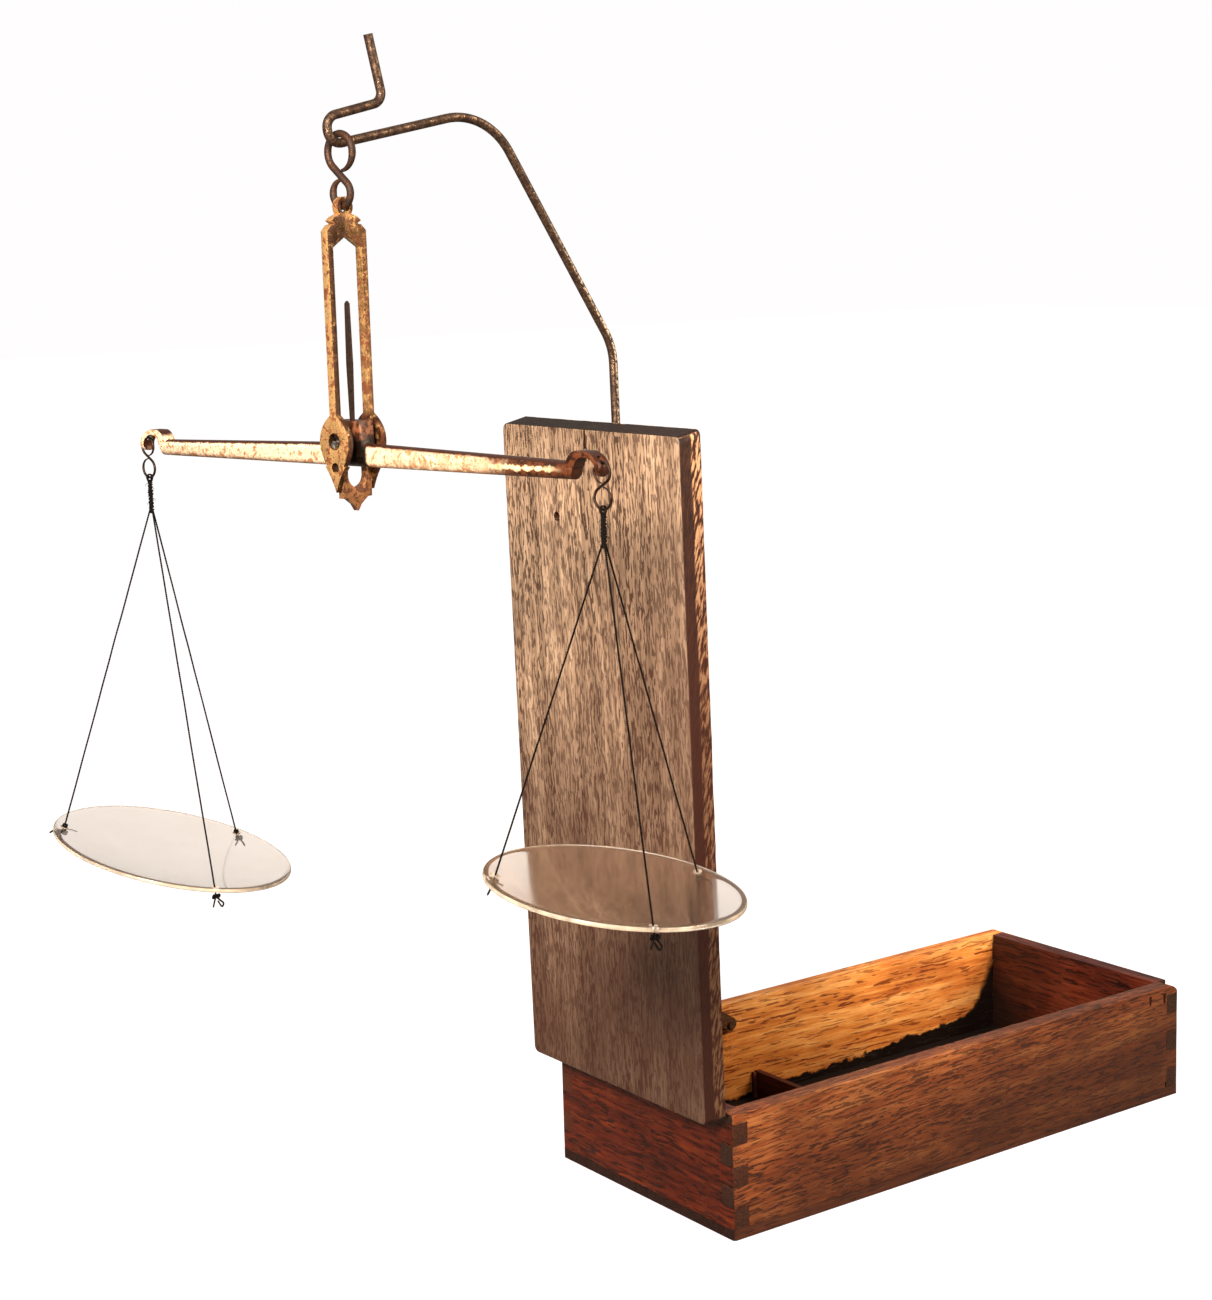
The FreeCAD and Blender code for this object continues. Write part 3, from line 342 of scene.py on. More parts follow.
def beam_age(tree, colour):
    """The beam: pale along both arms, partly a painted highlight, brown above and below, copper-brown at the
    right end with a bright streak that is a painted highlight, dark on the boss and black low down on it as
    painted shadow, and dark on the outside of the swan necks."""
    foot_from, foot_to, dull_from, dull_to = -3.9 * MM, -4.6 * MM, 5 * MM, 25 * MM
    copper_from, copper_to, streak_end, streak_fade = 48 * MM, 60 * MM, 78 * MM, 70 * MM
    hub_out, hub_in, neck_from, neck_to = 7.4 * MM, 6.6 * MM, 79 * MM, 81 * MM
    place, _, above = about_knife(tree)
    mottle = cloud(tree, placed(tree), 420, 4, 0.6)
    rough_edge = times(tree, less(tree, mottle, 0.5), 3.2 * MM)
    low = between(tree, calc(tree, "ADD", above, rough_edge), foot_from, foot_to)
    colour = mix(tree, times(tree, low, 0.75), colour, "#9a5c30")
    dull = times(tree, between(tree, place, dull_from, dull_to), between(tree, mottle, 0.62, 0.42))
    colour = mix(tree, times(tree, dull, 0.6), colour, "#a5764a")
    reach = scaled(tree, less(tree, mottle, 0.5), 40 * MM, place)
    coppery = between(tree, reach, copper_from, copper_to)
    copper = mix(tree, between(tree, mottle, 0.44, 0.56), "#281208", "#643820")
    # Painted highlight: a pale streak along the right end
    off = calc(tree, "ABSOLUTE", calc(tree, "ADD", above, 2.6 * MM))
    streak = between(tree, calc(tree, "ADD", off, rough_edge), 0.8 * MM, 0.2 * MM)
    streak = times(tree, streak, between(tree, place, streak_end, streak_fade))
    copper = mix(tree, streak, copper, "#fbe2b8")
    colour = mix(tree, coppery, colour, copper)
    hub = between(tree, calc(tree, "ABSOLUTE", place), hub_out, hub_in)
    face = mix(tree, between(tree, mottle, 0.45, 0.58), "#33190f", "#7c5038")
    # Painted shadow: the boss's face black below its upper part
    face = mix(tree, between(tree, above, 3.4 * MM, 2.0 * MM), face, "#100906")
    colour = mix(tree, hub, colour, face)
    rise = times(tree, between(tree, calc(tree, "ABSOLUTE", place), neck_from, neck_to),
                 facing_share(tree, ACROSS, -0.75, -0.5))
    colour = mix(tree, rise, colour, "#3d1e10")
    top = between(tree, scaled(tree, mottle, 0.4, axes(tree, face_way(tree))[2]), 0.68, 0.9)
    return mix(tree, top, colour, "#3a1b0e")


def fork_age(tree, colour):
    """The fork: gilt left on the near cheek and bar, the far cheek and the sides dark brown, painted shade.
    """
    middle, behind, cheek_top, cheek_to = 0.0, 2 * MM, 10 * MM, 8 * MM
    _, across, above = about_knife(tree)
    mottle = cloud(tree, placed(tree), 600, 4, 0.6)
    # Painted shade: the far cheek dark brown, the far half duller
    far = times(tree, between(tree, across, middle, behind), between(tree, above, cheek_top, cheek_to))
    far = times(tree, far, between(tree, mottle, 0.62, 0.50))
    colour = mix(tree, far, colour, "#2a140c")
    dull = times(tree, between(tree, across, middle, behind), between(tree, mottle, 0.58, 0.44))
    colour = mix(tree, times(tree, dull, 0.6), colour, "#5a3219")
    # Painted shade: the sides that face along the beam, darkest on the near half
    side = times(tree, facing_share(tree, BEAM_WAY, 0.45, 0.7), between(tree, mottle, 0.70, 0.55))
    near = times(tree, side, between(tree, across, 1 * MM, -1 * MM))
    colour = mix(tree, times(tree, side, 0.6), colour, "#4d2914")
    return mix(tree, times(tree, near, 0.85), colour, "#2a130a")


def arm_age(tree, colour):
    """The wire arm: dark brown above its long slope; lower down, pale pitted specks on the side facing the
    light, a painted highlight.
    """
    slope_top, slope_foot, lit_way = 0.300, 0.262, (0.81, -0.59, 0.1)
    pits = cloud(tree, placed(tree), 900, 4, 0.6)
    low = between(tree, spot_axes(tree)[2], slope_top, slope_foot)
    # Painted highlight: pale specks on the lit side
    lit_specks = times(tree, low, facing_share(tree, lit_way, 0.4, 0.7))
    lit_specks = times(tree, lit_specks, between(tree, pits, 0.47, 0.53))
    return mix(tree, lit_specks, colour, "#cdbba4")


def plain(name, colour, specks, rough, grain, cut, shine):
    """One dull colour with finer specks of another, both as codes."""
    material, tree = new_material(name)
    fine = cloud(tree, placed(tree), grain, 3, 0.6)
    shade = mix(tree, between(tree, fine, *cut), colour, specks)
    dents = add(tree, "Bump", Height=fine, Strength=0.4, Distance=0.1 * MM)
    shader = add(tree, "BsdfPrincipled", Base_Color=shade, Roughness=rough, Normal=dents,
                 Specular_IOR_Level=shine)
    return close_material(material, tree, shader)


def old_glass(name):
    """Warm-tinted old glass with a thin film of dust, a few specks and a pale frosted rim, partly a ground
    edge and partly a painted highlight.
    """
    material, tree = new_material(name)
    film = cloud(tree, placed(tree), 70, 4, 0.6)
    specks = cloud(tree, placed(tree), 900, 2, 0.5)
    clear = add(tree, "BsdfPrincipled", Base_Color="#f4ede4", Roughness=0.05, IOR=1.5,
                Transmission_Weight=1.0)
    dust = add(tree, "BsdfPrincipled", Base_Color="#b79c86", Roughness=0.7)
    share = scaled(tree, film, 0.08, 0.02)
    share = scaled(tree, between(tree, specks, 0.76, 0.80), 0.25, share)
    both = add(tree, "MixShader", i0=share, i1=clear, i2=dust)
    # The rim: pale and frosted, partly a ground edge, partly a painted highlight
    ground = add(tree, "BsdfPrincipled", Base_Color="#f3e6d2", Roughness=0.35)
    upright = calc(tree, "ABSOLUTE", axes(tree, face_way(tree))[2])
    rim = times(tree, between(tree, upright, 0.8, 0.5), between(tree, film, 0.72, 0.42))
    rim = times(tree, rim, 0.65)
    both = add(tree, "MixShader", i0=rim, i1=both, i2=ground)
    return close_material(material, tree, both)


# ---- modelling tools ----

def nothing_selected():
    bpy.ops.object.select_all(action="DESELECT")


def whole_mesh():
    bpy.ops.mesh.select_all(action="SELECT")


def linked(name, data):
    """A new object in the scene."""
    made = bpy.data.objects.new(name, data)
    bpy.context.scene.collection.objects.link(made)
    return made


def only(piece):
    """Leaves just this piece selected and active."""
    nothing_selected()
    piece.select_set(True)
    bpy.context.view_layer.objects.active = piece


def apply(piece, kind, **settings):
    """Adds a modifier and applies it at once."""
    only(piece)
    made = piece.modifiers.new(kind.lower(), kind)
    for name, value in settings.items():
        setattr(made, name, value)
    bpy.ops.object.modifier_apply(modifier=made.name)


def carved(piece, cutter):
    """Cuts a cutter's shape out of a piece and does away with the cutter."""
    apply(piece, "BOOLEAN", operation="DIFFERENCE", object=cutter, solver="EXACT")
    bpy.data.objects.remove(cutter)


def smooth(piece, angle=35):
    only(piece)
    bpy.ops.object.shade_smooth_by_angle(angle=radians(angle))


def keep(piece, material, body, slot, *nodes):
    """Gives a finished piece its material and its body, and hides the CAD nodes it stands for. The slot is
    not used.
    """
    piece.data.materials.clear()
    piece.data.materials.append(material)
    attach(piece, body)
    if nodes:
        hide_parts(*nodes)
    return piece


def node_copy(node, name):
    """A CAD node's shape as a new piece, its loose triangles merged into whole faces."""
    made = linked(name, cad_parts[node].data.copy())
    if "custom_normal" in made.data.attributes:
        made.data.attributes.remove(made.data.attributes["custom_normal"])
    only(made)
    bpy.ops.object.mode_set(mode="EDIT")
    whole_mesh()
    bpy.ops.mesh.remove_doubles(threshold=0.002 * MM)
    bpy.ops.mesh.dissolve_limited(angle_limit=radians(0.6))
    bpy.ops.mesh.normals_make_consistent(inside=False)
    bpy.ops.object.mode_set(mode="OBJECT")
    return made


def rounded(piece, width, angle, segments=2):
    """Rounds over a piece's edges that are sharper than an angle in degrees."""
    apply(piece, "BEVEL", width=width * MM, segments=segments, limit_method="ANGLE",
          angle_limit=radians(angle), use_clamp_overlap=True)


def softened(node, name, width):
    """A copy of a CAD node with its sharp edges rounded over."""
    made = node_copy(node, name)
    rounded(made, width, 30)
    smooth(made)
    return made


def sliced(piece, axis, start, stop, count):
    """Cuts a piece's faces by evenly spaced planes, so that it can be worn unevenly."""
    only(piece)
    bpy.ops.object.mode_set(mode="EDIT")
    for step in range(1, count):
        place = [0.0, 0.0, 0.0]
        facing = [0.0, 0.0, 0.0]
        place[axis] = start + (stop - start) * step / count
        facing[axis] = 1.0
        whole_mesh()
        bpy.ops.mesh.bisect(plane_co=place, plane_no=facing)
    bpy.ops.object.mode_set(mode="OBJECT")


def worn(piece, amount, grain, name):
    """Pushes the vertices along a piece's edges in and out by a noise, as use wears wood."""
    mesh = piece.data
    edges = piece.vertex_groups.new(name="edges")
    normals = {}
    for face in mesh.polygons:
        for corner in face.vertices:
            normals.setdefault(corner, []).append(face.normal.copy())
    sharp = [v for v, found in normals.items()
             if min(a.dot(found[0]) for a in found) < cos(radians(12))]
    edges.add(sharp, 1.0, "REPLACE")
    grain_texture = bpy.data.textures.new(name, "CLOUDS")
    grain_texture.noise_scale = grain * MM
    grain_texture.noise_depth = 3
    apply(piece, "DISPLACE", texture=grain_texture, strength=amount * MM, mid_level=0.62,
          vertex_group="edges", texture_coords="LOCAL")
    bpy.data.textures.remove(grain_texture)


def tube(name, points, radius, ends=True, sizes=None, sides=2):
    """A round wire or thread along points, its ends rounded off."""
    route = [Vector(p) for p in points]
    sizes = list(sizes or [1.0] * len(route))
    if ends:
        first = (route[0] - route[1]).normalized()
        last = (route[-1] - route[-2]).normalized()
        for share, size in ((0.5, 0.87), (0.87, 0.5), (0.99, 0.12)):
            route.insert(0, Vector(points[0]) + first * radius * sizes[0] * share)
            route.append(Vector(points[-1]) + last * radius * sizes[-1] * share)
        caps = (0.87, 0.5, 0.12)
        sizes = [sizes[0] * c for c in reversed(caps)] + sizes + [sizes[-1] * c for c in caps]
    curve = bpy.data.curves.new(name, "CURVE")
    curve.dimensions = "3D"
    curve.bevel_depth = radius
    curve.bevel_resolution = sides
    curve.use_fill_caps = True
    line = curve.splines.new("POLY")
    line.points.add(len(route) - 1)
    for point, place, size in zip(line.points, route, sizes):
        point.co = (*place, 1)
        point.radius = size
    line.use_smooth = True
    only(linked(name, curve))
    bpy.ops.object.convert(target="MESH")
    return bpy.context.object


def joined(name, pieces):
    nothing_selected()
    for piece in pieces:
        piece.select_set(True)
    bpy.context.view_layer.objects.active = pieces[0]
    bpy.ops.object.join()
    made = bpy.context.object
    made.name = name
    smooth(made, 60)
    return made


def curved(points, steps=6):
    """A smooth line through points, by Catmull-Rom spans."""
    route = [Vector(p) for p in points]
    route = [route[0] * 2 - route[1]] + route + [route[-1] * 2 - route[-2]]
    line = []
    for a, b, c, d in zip(route, route[1:], route[2:], route[3:]):
        for step in range(steps):
            t = step / steps
            line.append(0.5 * (2 * b + (c - a) * t + (2 * a - 5 * b + 4 * c - d) * t * t
                               + (3 * b - a - 3 * c + d) * t ** 3))
    return line + [route[-2]]


def dress(node, material):
    """Gives a CAD node its material in every slot it has."""
    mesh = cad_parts[node].data
    if not mesh.materials:
        mesh.materials.append(material)
    for place in range(len(mesh.materials)):
        mesh.materials[place] = material


# ---- boards ----

def worn_board(node, name, material, body, slot, round_over, amount, grain, cuts):
    """A board with its edges rounded over and worn unevenly along their length, in millimetres. cuts are
    the axes that it is sliced along before it is worn, each with the slices' spacing."""
    made = node_copy(node, name)
    rounded(made, round_over, 40)
    for axis, step in cuts:
        spots = [corner.co[axis] for corner in made.data.vertices]
        low, high = min(spots), max(spots)
        sliced(made, axis, low, high, max(2, round((high - low) / (step * MM))))
    worn(made, amount, grain, name)
    smooth(made, 40)
    return keep(made, material, body, slot, node)


# How a nick's cutter widens along X and thins along Y from its foot to its top
WIDER_UP, THINNER_UP = 0.25, 0.45


def nicked(piece, spots):
    """Cuts small wedge-shaped nicks, each with a middle and half sizes along X, Y and Z."""
    for middle, half in spots:
        nothing_selected()
        bpy.ops.mesh.primitive_cylinder_add(vertices=14, radius=1.0, depth=2.0)
        cutter = bpy.context.object
        for corner in cutter.data.vertices:
            corner.co.x *= 1.0 + WIDER_UP * corner.co.z
            corner.co.y *= 1.0 - THINNER_UP * corner.co.z
        shape = Matrix.Diagonal((*[h * MM for h in half], 1))
        cutter.data.transform(Matrix.Translation(Vector(middle) * MM) @ shape)
        carved(piece, cutter)
    smooth(piece, 40)


# The knife's collars, in millimetres: radius, length, edge, and how far out and above the knife they sit
COLLAR_RADIUS, COLLAR_LENGTH, COLLAR_EDGE = 2.6, 2.6, 0.35
COLLAR_OUT, COLLAR_ABOVE = 3.1, 0.7


def collars(name):
    """A turned collar on the knife at each side of the boss, to keep the beam midway in its fork. Their dark
    steel also stands for the shade between the boss and the cheeks, painted shade.
    """
    parts = []
    for way in (-1, 1):
        nothing_selected()
        bpy.ops.mesh.primitive_cylinder_add(vertices=48, radius=COLLAR_RADIUS * MM, depth=COLLAR_LENGTH * MM)
        made = bpy.context.object
        rounded(made, COLLAR_EDGE, 40, segments=3)
        turned = Matrix((BEAM_WAY, UP, -ACROSS)).transposed().to_4x4()
        centre = KNIFE + ACROSS * (way * COLLAR_OUT * MM) + UP * (COLLAR_ABOVE * MM)
        made.data.transform(Matrix.Translation(centre) @ turned)
        parts.append(made)
    return joined(name, parts)


# ---- hooks ----

LOOP_STEPS = 30


def figure_eight(top_loop, low_loop, height, opening, turn):
    """Centre line of a hook of two loops joined by a slanting run, from its top at the origin: the loops'
    widths and the height in millimetres, and how far each free end stops short of the run, in degrees."""
    top, low = top_loop / 2, low_loop / 2
    lean = acos((top + low) / (height - top - low))
    gap = radians(opening)
    line = []
    for loop, level, start, stop in ((top, -top, 1.5 * pi - gap, lean - pi / 2),
                                     (low, low - height, lean + pi / 2, 2.5 * pi - gap)):
        for step in range(LOOP_STEPS + 1):
            angle = start + (stop - start) * step / LOOP_STEPS
            line.append((turn * loop * cos(angle), loop * sin(angle) + level))
    return line


# The share of a hook's wire that is thinned at each free end, and how fast it thins
FREE_END, THINNING = 0.13, 1.3
# The height of a pan's hook, in millimetres
PAN_HOOK_HEIGHT = 11.6


def hook(name, place, wire, taper, **shape):
    """A bent wire hook in the beam's plane, thinned towards its free ends."""
    line = figure_eight(**shape)
    points = [place + BEAM_WAY * (x * MM) + UP * (z * MM) for x, z in line]
    count = len(points) - 1
    sizes = []
    for step in range(len(points)):
        near_end = min(step, count - step) / count
        sizes.append(1 - taper * max(0.0, 1 - near_end / FREE_END) ** THINNING)
    made = tube(name, points, wire * MM, sizes=sizes, sides=4)
    smooth(made, 60)
    return made


# ---- pans ----

# radius, thick and grip, the whipping's length, are in millimetres. base, foot and holes are in metres,
# turn is the pan's tilt as a quaternion, and lumps are the threads that are knotted above the glass too.
PANS = {
    "left": {
        "radius": 35.5, "thick": 1.2, "base": (-0.2026407, 0.087419, 0.1087872),
        "turn": (0.991376, 0.087665, 0.097405, 0), "lumps": (0, 1), "grip": 9.0,
        "foot": (-0.2024665, 0.087266, 0.2219294),
        "holes": ((-0.0285468, 0.0155348), (0.0290379, 0.0145963), (-0.0022532, -0.0324218))},
    "right": {
        "radius": 33.0, "thick": 1.384, "base": (-0.16609, -0.0871857, 0.1256561),
        "turn": (0.997198, 0.056025, 0.049579, 0), "lumps": (), "grip": 8.0,
        "foot": (-0.1660049, -0.087266, 0.2219294),
        "holes": ((-0.0254903, 0.0158192), (0.0296861, 0.0043287), (-0.0094104, -0.0284858))},
}
PAN_DEPTH = 3.0
PAN_HOLE = 1.1
RIM_ROUND = 0.5
DRILL_MIDDLE, DRILL_LENGTH = 2.0, 9.0
# The chips round a hole: noise in cycles to the metre, and how far it pushes the drill's side out
CHIP_SCALE, CHIP_REACH = 900, 0.5


def pan_place(pan):
    return Matrix.Translation(pan["base"]) @ Quaternion(pan["turn"]).to_matrix().to_4x4()


def pan_profile(pan):
    """Half section of the dish, from the middle of its inner face over the rim to the middle below."""
    radius, thick = pan["radius"], pan["thick"]
    curve = (radius ** 2 + PAN_DEPTH ** 2) / (2 * PAN_DEPTH)
    spread = atan2(radius, curve - PAN_DEPTH)
    steps = 20

    def at(distance, angle):
        return Vector((distance * sin(angle), 0, curve - distance * cos(angle)))

    inner = [at(curve, spread * (1 - RIM_ROUND / radius) * s / steps) for s in range(steps + 1)]
    outer = [at(curve + thick, spread * (1 - RIM_ROUND / radius) * s / steps) for s in range(steps, -1, -1)]
    middle = at(curve + thick / 2, spread)
    out = Vector((cos(spread), 0, sin(spread)))
    down = Vector((sin(spread), 0, -cos(spread)))
    rim = []
    for step in range(1, 8):
        angle = pi * step / 8
        share = sin(angle) ** 0.8
        rim.append(middle + out * (RIM_ROUND * (share - 1)) - down * (thick / 2 * cos(angle)))
    return [p * MM for p in inner + rim + outer]


def dish(name, pan):
    """The glass dish, spun from its section and drilled for three threads, with chipped hole edges."""
    profile = pan_profile(pan)
    nothing_selected()
    bpy.ops.mesh.primitive_plane_add(size=2 * MM, location=(0, 0, 0))
    made = bpy.context.object
    made.name = name
    bpy.ops.object.mode_set(mode="EDIT")
    whole_mesh()
    bpy.ops.mesh.merge(type="CENTER")
    for start, stop in zip(profile, profile[1:]):
        bpy.ops.mesh.extrude_region_move(TRANSFORM_OT_translate={"value": stop - start})
    whole_mesh()
    bpy.ops.mesh.spin(steps=144, angle=tau, center=(0, 0, 0), axis=(0, 0, 1))
    whole_mesh()
    bpy.ops.mesh.remove_doubles(threshold=0.004 * MM)
    bpy.ops.mesh.normals_make_consistent(inside=False)
    bpy.ops.object.mode_set(mode="OBJECT")
    drills = []
    for number, (x, y) in enumerate(pan["holes"]):
        nothing_selected()
        bpy.ops.mesh.primitive_cylinder_add(vertices=28, radius=PAN_HOLE * MM, depth=DRILL_LENGTH * MM,
                                            location=(x, y, DRILL_MIDDLE * MM))
        drill = bpy.context.object
        bpy.ops.object.transform_apply(location=True, rotation=False, scale=False)
        low, high = DRILL_MIDDLE - DRILL_LENGTH / 2, DRILL_MIDDLE + DRILL_LENGTH / 2
        sliced(drill, 2, low * MM, high * MM, 36)
        for corner in drill.data.vertices:
            spot = corner.co.copy()
            out = Vector((spot.x - x, spot.y - y, 0))
            chip = max(0.0, noise.noise(spot * CHIP_SCALE + Vector((number * 7.1, 3.3, 0))))
            corner.co += out * (chip * CHIP_REACH)
        drills.append(drill)
    for drill in drills:
        carved(made, drill)
    made.data.transform(pan_place(pan))
    smooth(made, 30)
    return made


# ---- threads ----

# Thread and its parts, as radii in millimetres: the thread, the whipping's core and its turns, its fuzz,
# and the thread where it is tied and cut
THREAD, CORE, TURN, FUZZ, TIED, CUT_END = 0.28, 0.26, 0.2, 0.07, 0.34, 0.27
# The plies' pitch and how far the thread strays from straight
TWIST_PITCH, SLACK = 1.1, 0.10
# The loop over the hook: its radius, half the distance between its two threads, and where they meet
LOOP_RADIUS, LOOP_APART, LOOP_FOOT = 0.88, 0.28, 2.2
WHIPPING_TURNS = 17
# Knots: size below the glass and above it, how far each sits from the glass, and the knot curve's reach
KNOT_SIZE, LUMP_SIZE, KNOT_DROP, LUMP_RISE, KNOT_REACH = 1.2, 0.7, 1.37, 0.5, 3.35


def twisted(name, start, stop, seed):
    """Two plies twisted about a line that sags and wanders a little, as a stretched linen thread does."""
    way = stop - start
    length = way.length
    along = way / length
    side = along.cross(UP)
    side = side.normalized() if side.length > 0.01 else Vector((1, 0, 0))
    other = along.cross(side)
    turns = length / (TWIST_PITCH * MM)
    steps = int(turns * 7)
    plies = []
    for ply in (0, 1):
        line = []
        for step in range(steps + 1):
            share = step / steps
            angle = tau * turns * share + pi * ply
            spot = start + way * share
            loose = SLACK * MM * sin(pi * share)
            wander = side * (noise.noise(Vector((share * 9, seed, 0))) * loose)
            wander += other * (noise.noise(Vector((share * 9, seed, 5))) * loose)
            line.append(spot + wander + (side * cos(angle) + other * sin(angle)) * THREAD * 0.5 * MM)
        plies.append(tube(name, line, THREAD * 0.56 * MM, sides=1))
    return plies


def beside(foot, drop, angle, out):
    """A spot below a hook's foot and to the side of the line under it, in millimetres."""
    return foot - UP * (drop * MM) + (BEAM_WAY * cos(angle) + ACROSS * sin(angle)) * (out * MM)


def whipping(name, pan):
    """Threads looped over the hook's foot and bound round below it with turns of the same thread."""
    foot = Vector(pan["foot"])
    seed = pan["radius"]
    parts = []
    for shift in (-LOOP_APART, LOOP_APART):
        loop = []
        for step in range(25):
            angle = pi * step / 24
            loop.append(foot + ACROSS * (LOOP_RADIUS * cos(angle) * MM)
                        + UP * (LOOP_RADIUS * sin(angle) * MM) + BEAM_WAY * (shift * MM))
        gathered = foot - UP * (LOOP_FOOT * MM) + BEAM_WAY * (shift * 0.4 * MM)
        tail = [loop[-1] - UP * (0.8 * MM) + ACROSS * (0.25 * MM), gathered]
        head = [gathered, loop[0] - UP * (0.8 * MM) - ACROSS * (0.25 * MM)]
        parts.append(tube(name, curved(head + loop + tail, 3), TURN * MM, sides=1))
    low = LOOP_RADIUS + pan["grip"]
    # Four core strands in a slow twist, the turns round them, then a few loose fibres
    for number in range(4):
        lean = tau * number / 4
        line = []
        for step in range(30):
            drop = 0.9 + (low - 0.9 + 0.4) * step / 29
            swell = 0.30 + 0.16 * noise.noise(Vector((drop * 0.9, seed, number)))
            line.append(beside(foot, drop, lean + drop * 0.55, swell))
        parts.append(tube(name, line, CORE * MM, sides=1))
    coil = []
    steps = WHIPPING_TURNS * 14
    for step in range(steps + 1):
        share = step / steps
        drop = 1.0 + (low - 1.1) * (share + 0.012 * sin(share * 47))
        bulge = 0.52 + 0.14 * noise.noise(Vector((drop * 0.8, seed, 4))) + 0.12 * sin(pi * share)
        coil.append(beside(foot, drop, tau * WHIPPING_TURNS * share, bulge))
    parts.append(tube(name, coil, TURN * MM, sides=1))
    for number in range(7):
        drop = 1.2 + (low - 2.0) * (number + 0.5) / 7
        angle = number * 2.4 + seed
        out = BEAM_WAY * cos(angle) + ACROSS * sin(angle)
        base = beside(foot, drop, angle, 0.5)
        fibre = [base, base + out * (0.5 * MM) - UP * (0.1 * MM), base + out * (0.9 * MM) - UP * (0.55 * MM)]
        parts.append(tube(name, curved(fibre, 4), FUZZ * MM, sides=1))
    return joined(name, parts)


def knot(name, centre, way, size, seed, tails):
    """A tied knot of the pan's thread with its cut ends."""
    along = way.normalized()
    side = along.cross(Vector((0.3, 0.9, 0.1))).normalized()
    other = along.cross(side)
    turned = Matrix((side, other, along)).transposed()
    line = []
    steps = 54
    for step in range(steps + 1):
        t = tau * step / steps + seed
        shape = Vector((sin(t) + 2 * sin(2 * t), cos(t) - 2 * cos(2 * t), -1.15 * sin(3 * t)))
        line.append(centre + turned @ shape * (size * MM / KNOT_REACH))
    parts = [tube(name, line, TIED * MM, ends=False)]
    for tail in tails:
        route = [centre] + [centre + Vector(point) * MM for point in tail]
        parts.append(tube(name, curved(route, 6), CUT_END * MM, sides=1))
    return parts


def pan_set(side, pan, glass_material, thread_material):
    """Glass, whipping, three twisted threads and their knots of one pan."""
    body = side + "_pan_set"
    keep(dish("dish_" + side, pan), glass_material, body, "pan_glass", side + "_pan")
    keep(whipping("binding_" + side, pan), thread_material, body, "black_thread", side + "_whipping")
    place = pan_place(pan)
    curve = (pan["radius"] ** 2 + PAN_DEPTH ** 2) / (2 * PAN_DEPTH)
    start = Vector(pan["foot"]) - UP * ((LOOP_RADIUS + pan["grip"]) * MM)
    plies, knots = [], []
    for number, (x, y) in enumerate(pan["holes"]):
        inset = sqrt(x * x + y * y) / MM
        height = curve - sqrt(curve ** 2 - inset ** 2) - pan["thick"] / 2
        middle = place @ Vector((x, y, height * MM))
        out = Vector((middle.x - start.x, middle.y - start.y, 0)).normalized()
        top = start + out * (0.45 * MM)
        way = (middle - top).normalized()
        normal = place.to_3x3() @ UP
        below = (pan["thick"] / 2 + KNOT_DROP) / abs(way.dot(normal))
        low = middle + way * (below * MM)
        plies += twisted("thread", top + UP * (0.5 * MM), low, pan["radius"] + number)
        knots += knot("knot", low, way, KNOT_SIZE, pan["radius"] + number * 2.1, KNOT_TAILS[side][number])
        if number in pan["lumps"]:
            high = middle - way * ((pan["thick"] / 2 + LUMP_RISE) * MM)
            knots += knot("knot", high, way, LUMP_SIZE, number * 1.3, ())
    keep(joined("threads_" + side, plies), thread_material, body, "black_thread", side + "_threads")
    keep(joined("knots_" + side, knots), thread_material, body, "black_thread", side + "_knots")


# Cut ends and loops of thread at each knot, in millimetres from its middle
KNOT_TAILS = {
    "left": (
        ([(0.8, -0.6, 0.9), (2.4, -1.4, 1.2), (3.6, -1.6, 0.2)],
         [(-0.9, 0.4, 0.8), (-2.3, 0.6, 1.6), (-3.3, 0.9, 1.2)]),
        ([(0.7, -0.5, -0.9), (1.3, -1.3, -2.4)], [(-0.6, -0.4, -0.9), (-1.4, -0.5, -2.0)]),
        ([(0.8, -0.5, -1.0), (1.9, -0.7, -2.2), (1.2, -0.9, -3.0), (0.3, -0.6, -1.4)],
         [(-0.7, -0.4, -1.1), (-1.3, -0.6, -2.7)]),
    ),
    "right": (
        ([(0.8, -0.4, -0.8), (2.0, -0.9, -1.5)], [(-0.7, -0.2, -0.9), (-1.6, -0.3, -2.1)]),
        ([(0.9, -0.4, -0.6), (2.3, -0.8, -1.1), (3.1, -1.2, -2.4)], [(-0.7, -0.4, -0.9), (-0.9, -0.9, -2.2)]),
        ([(0.7, -0.5, -1.0), (1.5, -0.9, -2.3), (0.6, -0.9, -3.0), (-0.2, -0.4, -1.3)],
         [(-0.8, -0.4, -1.0), (-1.7, -0.8, -2.3)]),
    ),
}


# ---- materials, each for one real material ----

# Oak lid: riven along the grain, weathered pale grey-tan where the soft wood has worn away
lid_wood = wood("old oak, dry and unfinished", "Z", ("#766452", "#917a66", "#b39b84"), "#352219", "#170b07",
                shift=(0.31, 0.12, 0.05), tilt=1.5, pore_cut=0.522, pore_soft=0.016, pore_size=(2.0, 0.40),
                rough=0.6, relief=0.34, wave=0.8, contrast=0.9, extra=lid_age)

# Box walls: mahogany, sawn thin, oiled and handled to an orange brown. Each wall has its own copy: the back
# toned bright as painted light, the two ends toned dark as painted shade.
box_long = wood("mahogany, oiled, front", "X", ("#7a3c1f", "#a1572d", "#c67f49"), "#38190c", "#3c2217",
                shift=(0.02, 0.31, 0.11), tilt=2, pore_cut=0.54, pore_soft=0.03, pore_size=(3.2, 0.3),
                rough=0.48, wave=0.9, relief=0.3, contrast=0.8, extra=front_age)
